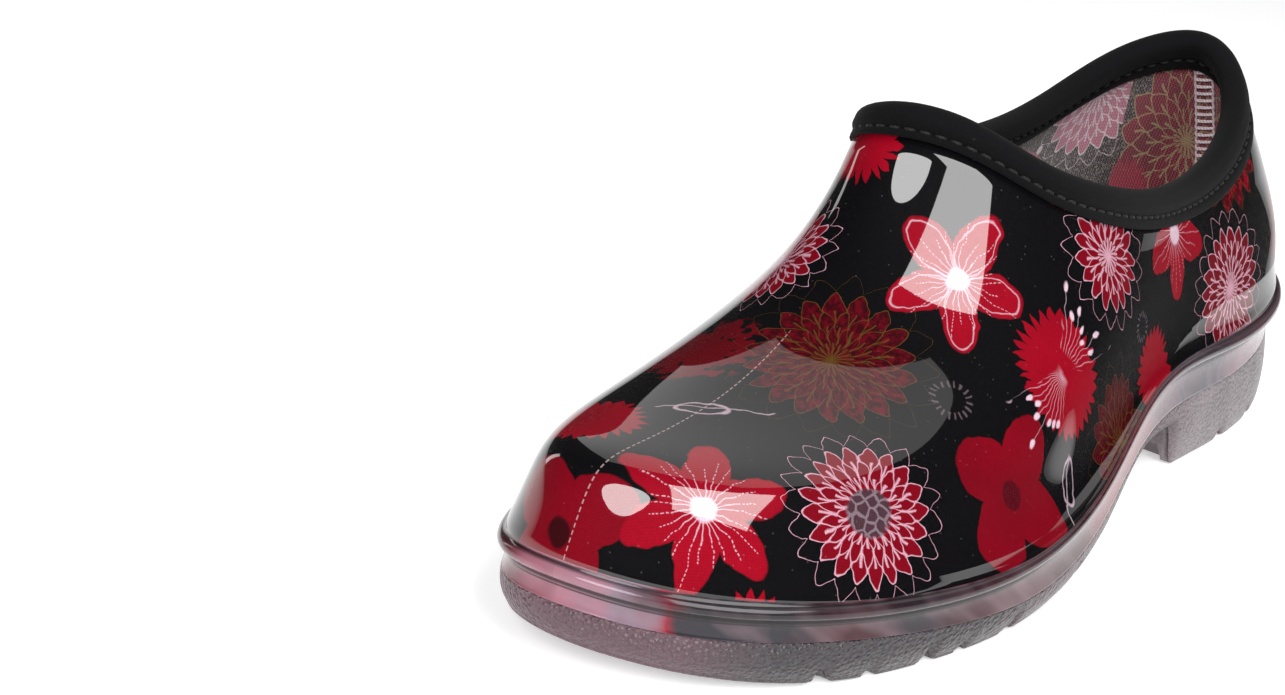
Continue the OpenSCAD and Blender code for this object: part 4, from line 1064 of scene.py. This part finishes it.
def bed_ring():
    d = SHELL_T+LINING_T+2*GLUE
    P = np.stack([drop(TB, d, 0), turn(TB, d), deep(TB, ends(0.14, 0.42, 0.42, TB), np.full(NB, d))])
    k = np.argmin((P*PB).sum(-1), axis=0); p = P[k, np.arange(NB)]-GAP*PB
    return p


BD = bed_ring()
for _ in range(3): BD = (np.roll(BD, 1, 0)+2*BD+np.roll(BD, -1, 0))/4
BRD = drop(TB, SHELL_T+3*GLUE+LINING_T, 2*GLUE)


def board_level(i, f): return BRD[i, 2]*(1-f)+BRD[(NB-i) % NB, 2]*f


BZ = BRD[:, 2]+BOARD_T+SEAT_UP


def crown(x, y, f):
    """Foam height over its flat base: cupped heel, raised arch on the inner side, a low toe crest."""
    e = np.minimum(f, 1-f)*2; rimup = (1-smooth(0.0, 0.42, e))
    heel = smooth(35, 85, y); waist = smooth(-30, 5, y)*(1-smooth(45, 80, y))
    arch_in = waist*smooth(0.5, 1.0, f)*(1.0-0.35*smooth(0.85, 1.0, f))
    h = FOAM_T+2.4*heel*rimup+1.2*rimup*(1-heel)*0.6+3.2*arch_in-0.8*heel*np.exp(-(((x+3)/16)**2+((y-95)/22)**2))
    h = h-0.6*np.exp(-(((x+4)/24)**2+((y+58)/26)**2))+0.8*np.exp(-((y+88)/9)**2)*np.sin(math.pi*np.clip(f, 0, 1))
    return h


def bed_slab(name, z_lo, z_hi, inset, mats, cols, bulge):
    ring = BD-inset*PB; f0 = np.zeros(NB)
    lo = ring.copy(); hi = ring.copy()
    base_z = BZ
    fr = np.where(np.arange(NB) <= NB//2, 0.0, 1.0)
    lo[:, 2] = base_z+z_lo(ring[:, 0], ring[:, 1], fr); hi[:, 2] = base_z+z_hi(ring[:, 0], ring[:, 1], fr)-0.5
    hi = hi-0.8*PB; lo = lo-0.5*PB
    sd = []
    for q in (0.18, 0.4, 0.6, 0.82):
        p = lo*(1-q)+hi*q+PB*(bulge*math.sin(math.pi*q)**0.7+0.5*(1-q)); sd.append(p)
    def low_z(x, y, i, f): return board_level(i, f)+BOARD_T+SEAT_UP+z_lo(x, y, f)
    def high_z(x, y, i, f): return board_level(i, f)+BOARD_T+SEAT_UP+z_hi(x, y, f)-0.5*(1-smooth(0, 0.05, np.minimum(f, 1-f)))
    return web_mesh(name, lo, hi, sd, mats, cols, cols, low_z, high_z)


foam = bed_slab("footbed_foam_pad", lambda x, y, f: np.zeros(np.shape(x)), crown, 0.35, [M_FOAM], 30, 0.5)
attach(foam, "footbed"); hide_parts("footbed_foam")
cover = bed_slab("footbed_mesh_cloth", lambda x, y, f: crown(x, y, f)+GLUE*0.6, lambda x, y, f: crown(x, y, f)+GLUE*0.6+0.75+0.10*np.sin(x*0.9)*np.sin(y*0.9), 0.1, [M_MESH], 44, 0.2)
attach(cover, "footbed"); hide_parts("footbed_mesh_cover")

# ---------------------------------------------------------------- CAD nodes that stay, with their own finish
for node, m in (("insole_board", M_BOARD), ("board_stitching", M_WHITE), ("toe_seam_stitching", M_DARK)):
    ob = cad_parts[node]; ob.data.materials.clear(); ob.data.materials.append(m)
    for p in ob.data.polygons: p.use_smooth = False

# ---------------------------------------------------------------- floor, lights, camera
bpy.ops.mesh.primitive_plane_add(size=9.0, location=(0, 0.6, -0.0002))
floor = bpy.context.object; floor.name = "studio_floor"; floor.data.materials.append(M_FLOOR)

world = bpy.data.worlds.new("studio"); scene.world = world; world.use_nodes = True
bg = world.node_tree.nodes["Background"]; bg.inputs[0].default_value = (0.95, 0.97, 1.0, 1); bg.inputs[1].default_value = 0.02


def panel(name, centre, u, v, radiance, colour=(1, 1, 1)):
    """Rectangular softbox: centre and the two full edges, in metres; it faces the clog."""
    c, u, v = Vector(centre), Vector(u), Vector(v)
    L = bpy.data.lights.new(name, 'AREA'); L.shape = 'RECTANGLE'; L.size = u.length; L.size_y = v.length
    L.energy = radiance*math.pi*u.length*v.length; L.color = colour
    x = u.normalized(); z = x.cross(v).normalized(); y = z.cross(x)
    if z.dot(c-Vector((0, -0.03, 0.05))) < 0: x = -x; z = -z
    ob = bpy.data.objects.new(name, L); scene.collection.objects.link(ob)
    ob.matrix_world = Matrix(((x.x, y.x, z.x, c.x), (x.y, y.y, z.y, c.y), (x.z, y.z, z.z, c.z), (0, 0, 0, 1)))
    return ob


SHOE = Vector((0.005, -0.030, 0.071))
tl, tr, br, bl = (Vector(q) for q in ((0.81, -0.85, 0.53), (1.07, -0.395, 0.47), (0.72, 0.315, 0.98), (0.18, -0.115, 1.27)))
u = ((tr-tl)+(br-bl))/2; v = ((bl-tl)+(br-tr))/2
panel("softbox_side", SHOE+(tl+tr+br+bl)/4, u, v, 7.5)
FRONT = panel("softbox_front", (0.20, -1.02, 0.70), (0.66, 0.13, 0.0), (0.0, 0.42, 0.66), 7.5)
FRONT.data.shape = 'ELLIPSE'
panel("strip_left", (-1.19, 0.07, 0.26), (0.01, 0.12, 0), (0, 0, 0.45), 3.0)
panel("backdrop_high", (-0.45, 1.15, 1.75), (2.3, 0, 0), (0, -0.25, 2.2), 0.85)

cam = bpy.data.cameras.new("camera"); camo = bpy.data.objects.new("camera", cam); scene.collection.objects.link(camo)
az, el, roll = (math.radians(q) for q in (34.79, 22.95, 6.38))
back = Vector((math.sin(az)*math.cos(el), -math.cos(az)*math.cos(el), math.sin(el)))
loc = Vector((-0.04154, -0.07289, 0.040))+back*0.45205
xa = Vector((0, 0, 1)).cross(back).normalized(); ya = back.cross(xa)
x2 = xa*math.cos(roll)+ya*math.sin(roll); y2 = -xa*math.sin(roll)+ya*math.cos(roll)
camo.matrix_world = Matrix(((x2.x, y2.x, back.x, loc.x), (x2.y, y2.y, back.y, loc.y), (x2.z, y2.z, back.z, loc.z), (0, 0, 0, 1)))
cam.sensor_fit = 'HORIZONTAL'; cam.sensor_width = 36.0; cam.lens = 2107.27/1285*36.0; cam.clip_start = 0.01; cam.clip_end = 20.0
scene.camera = camo
scene.view_settings.view_transform = 'Standard'; scene.view_settings.look = 'None'

bpy.context.view_layer.update()
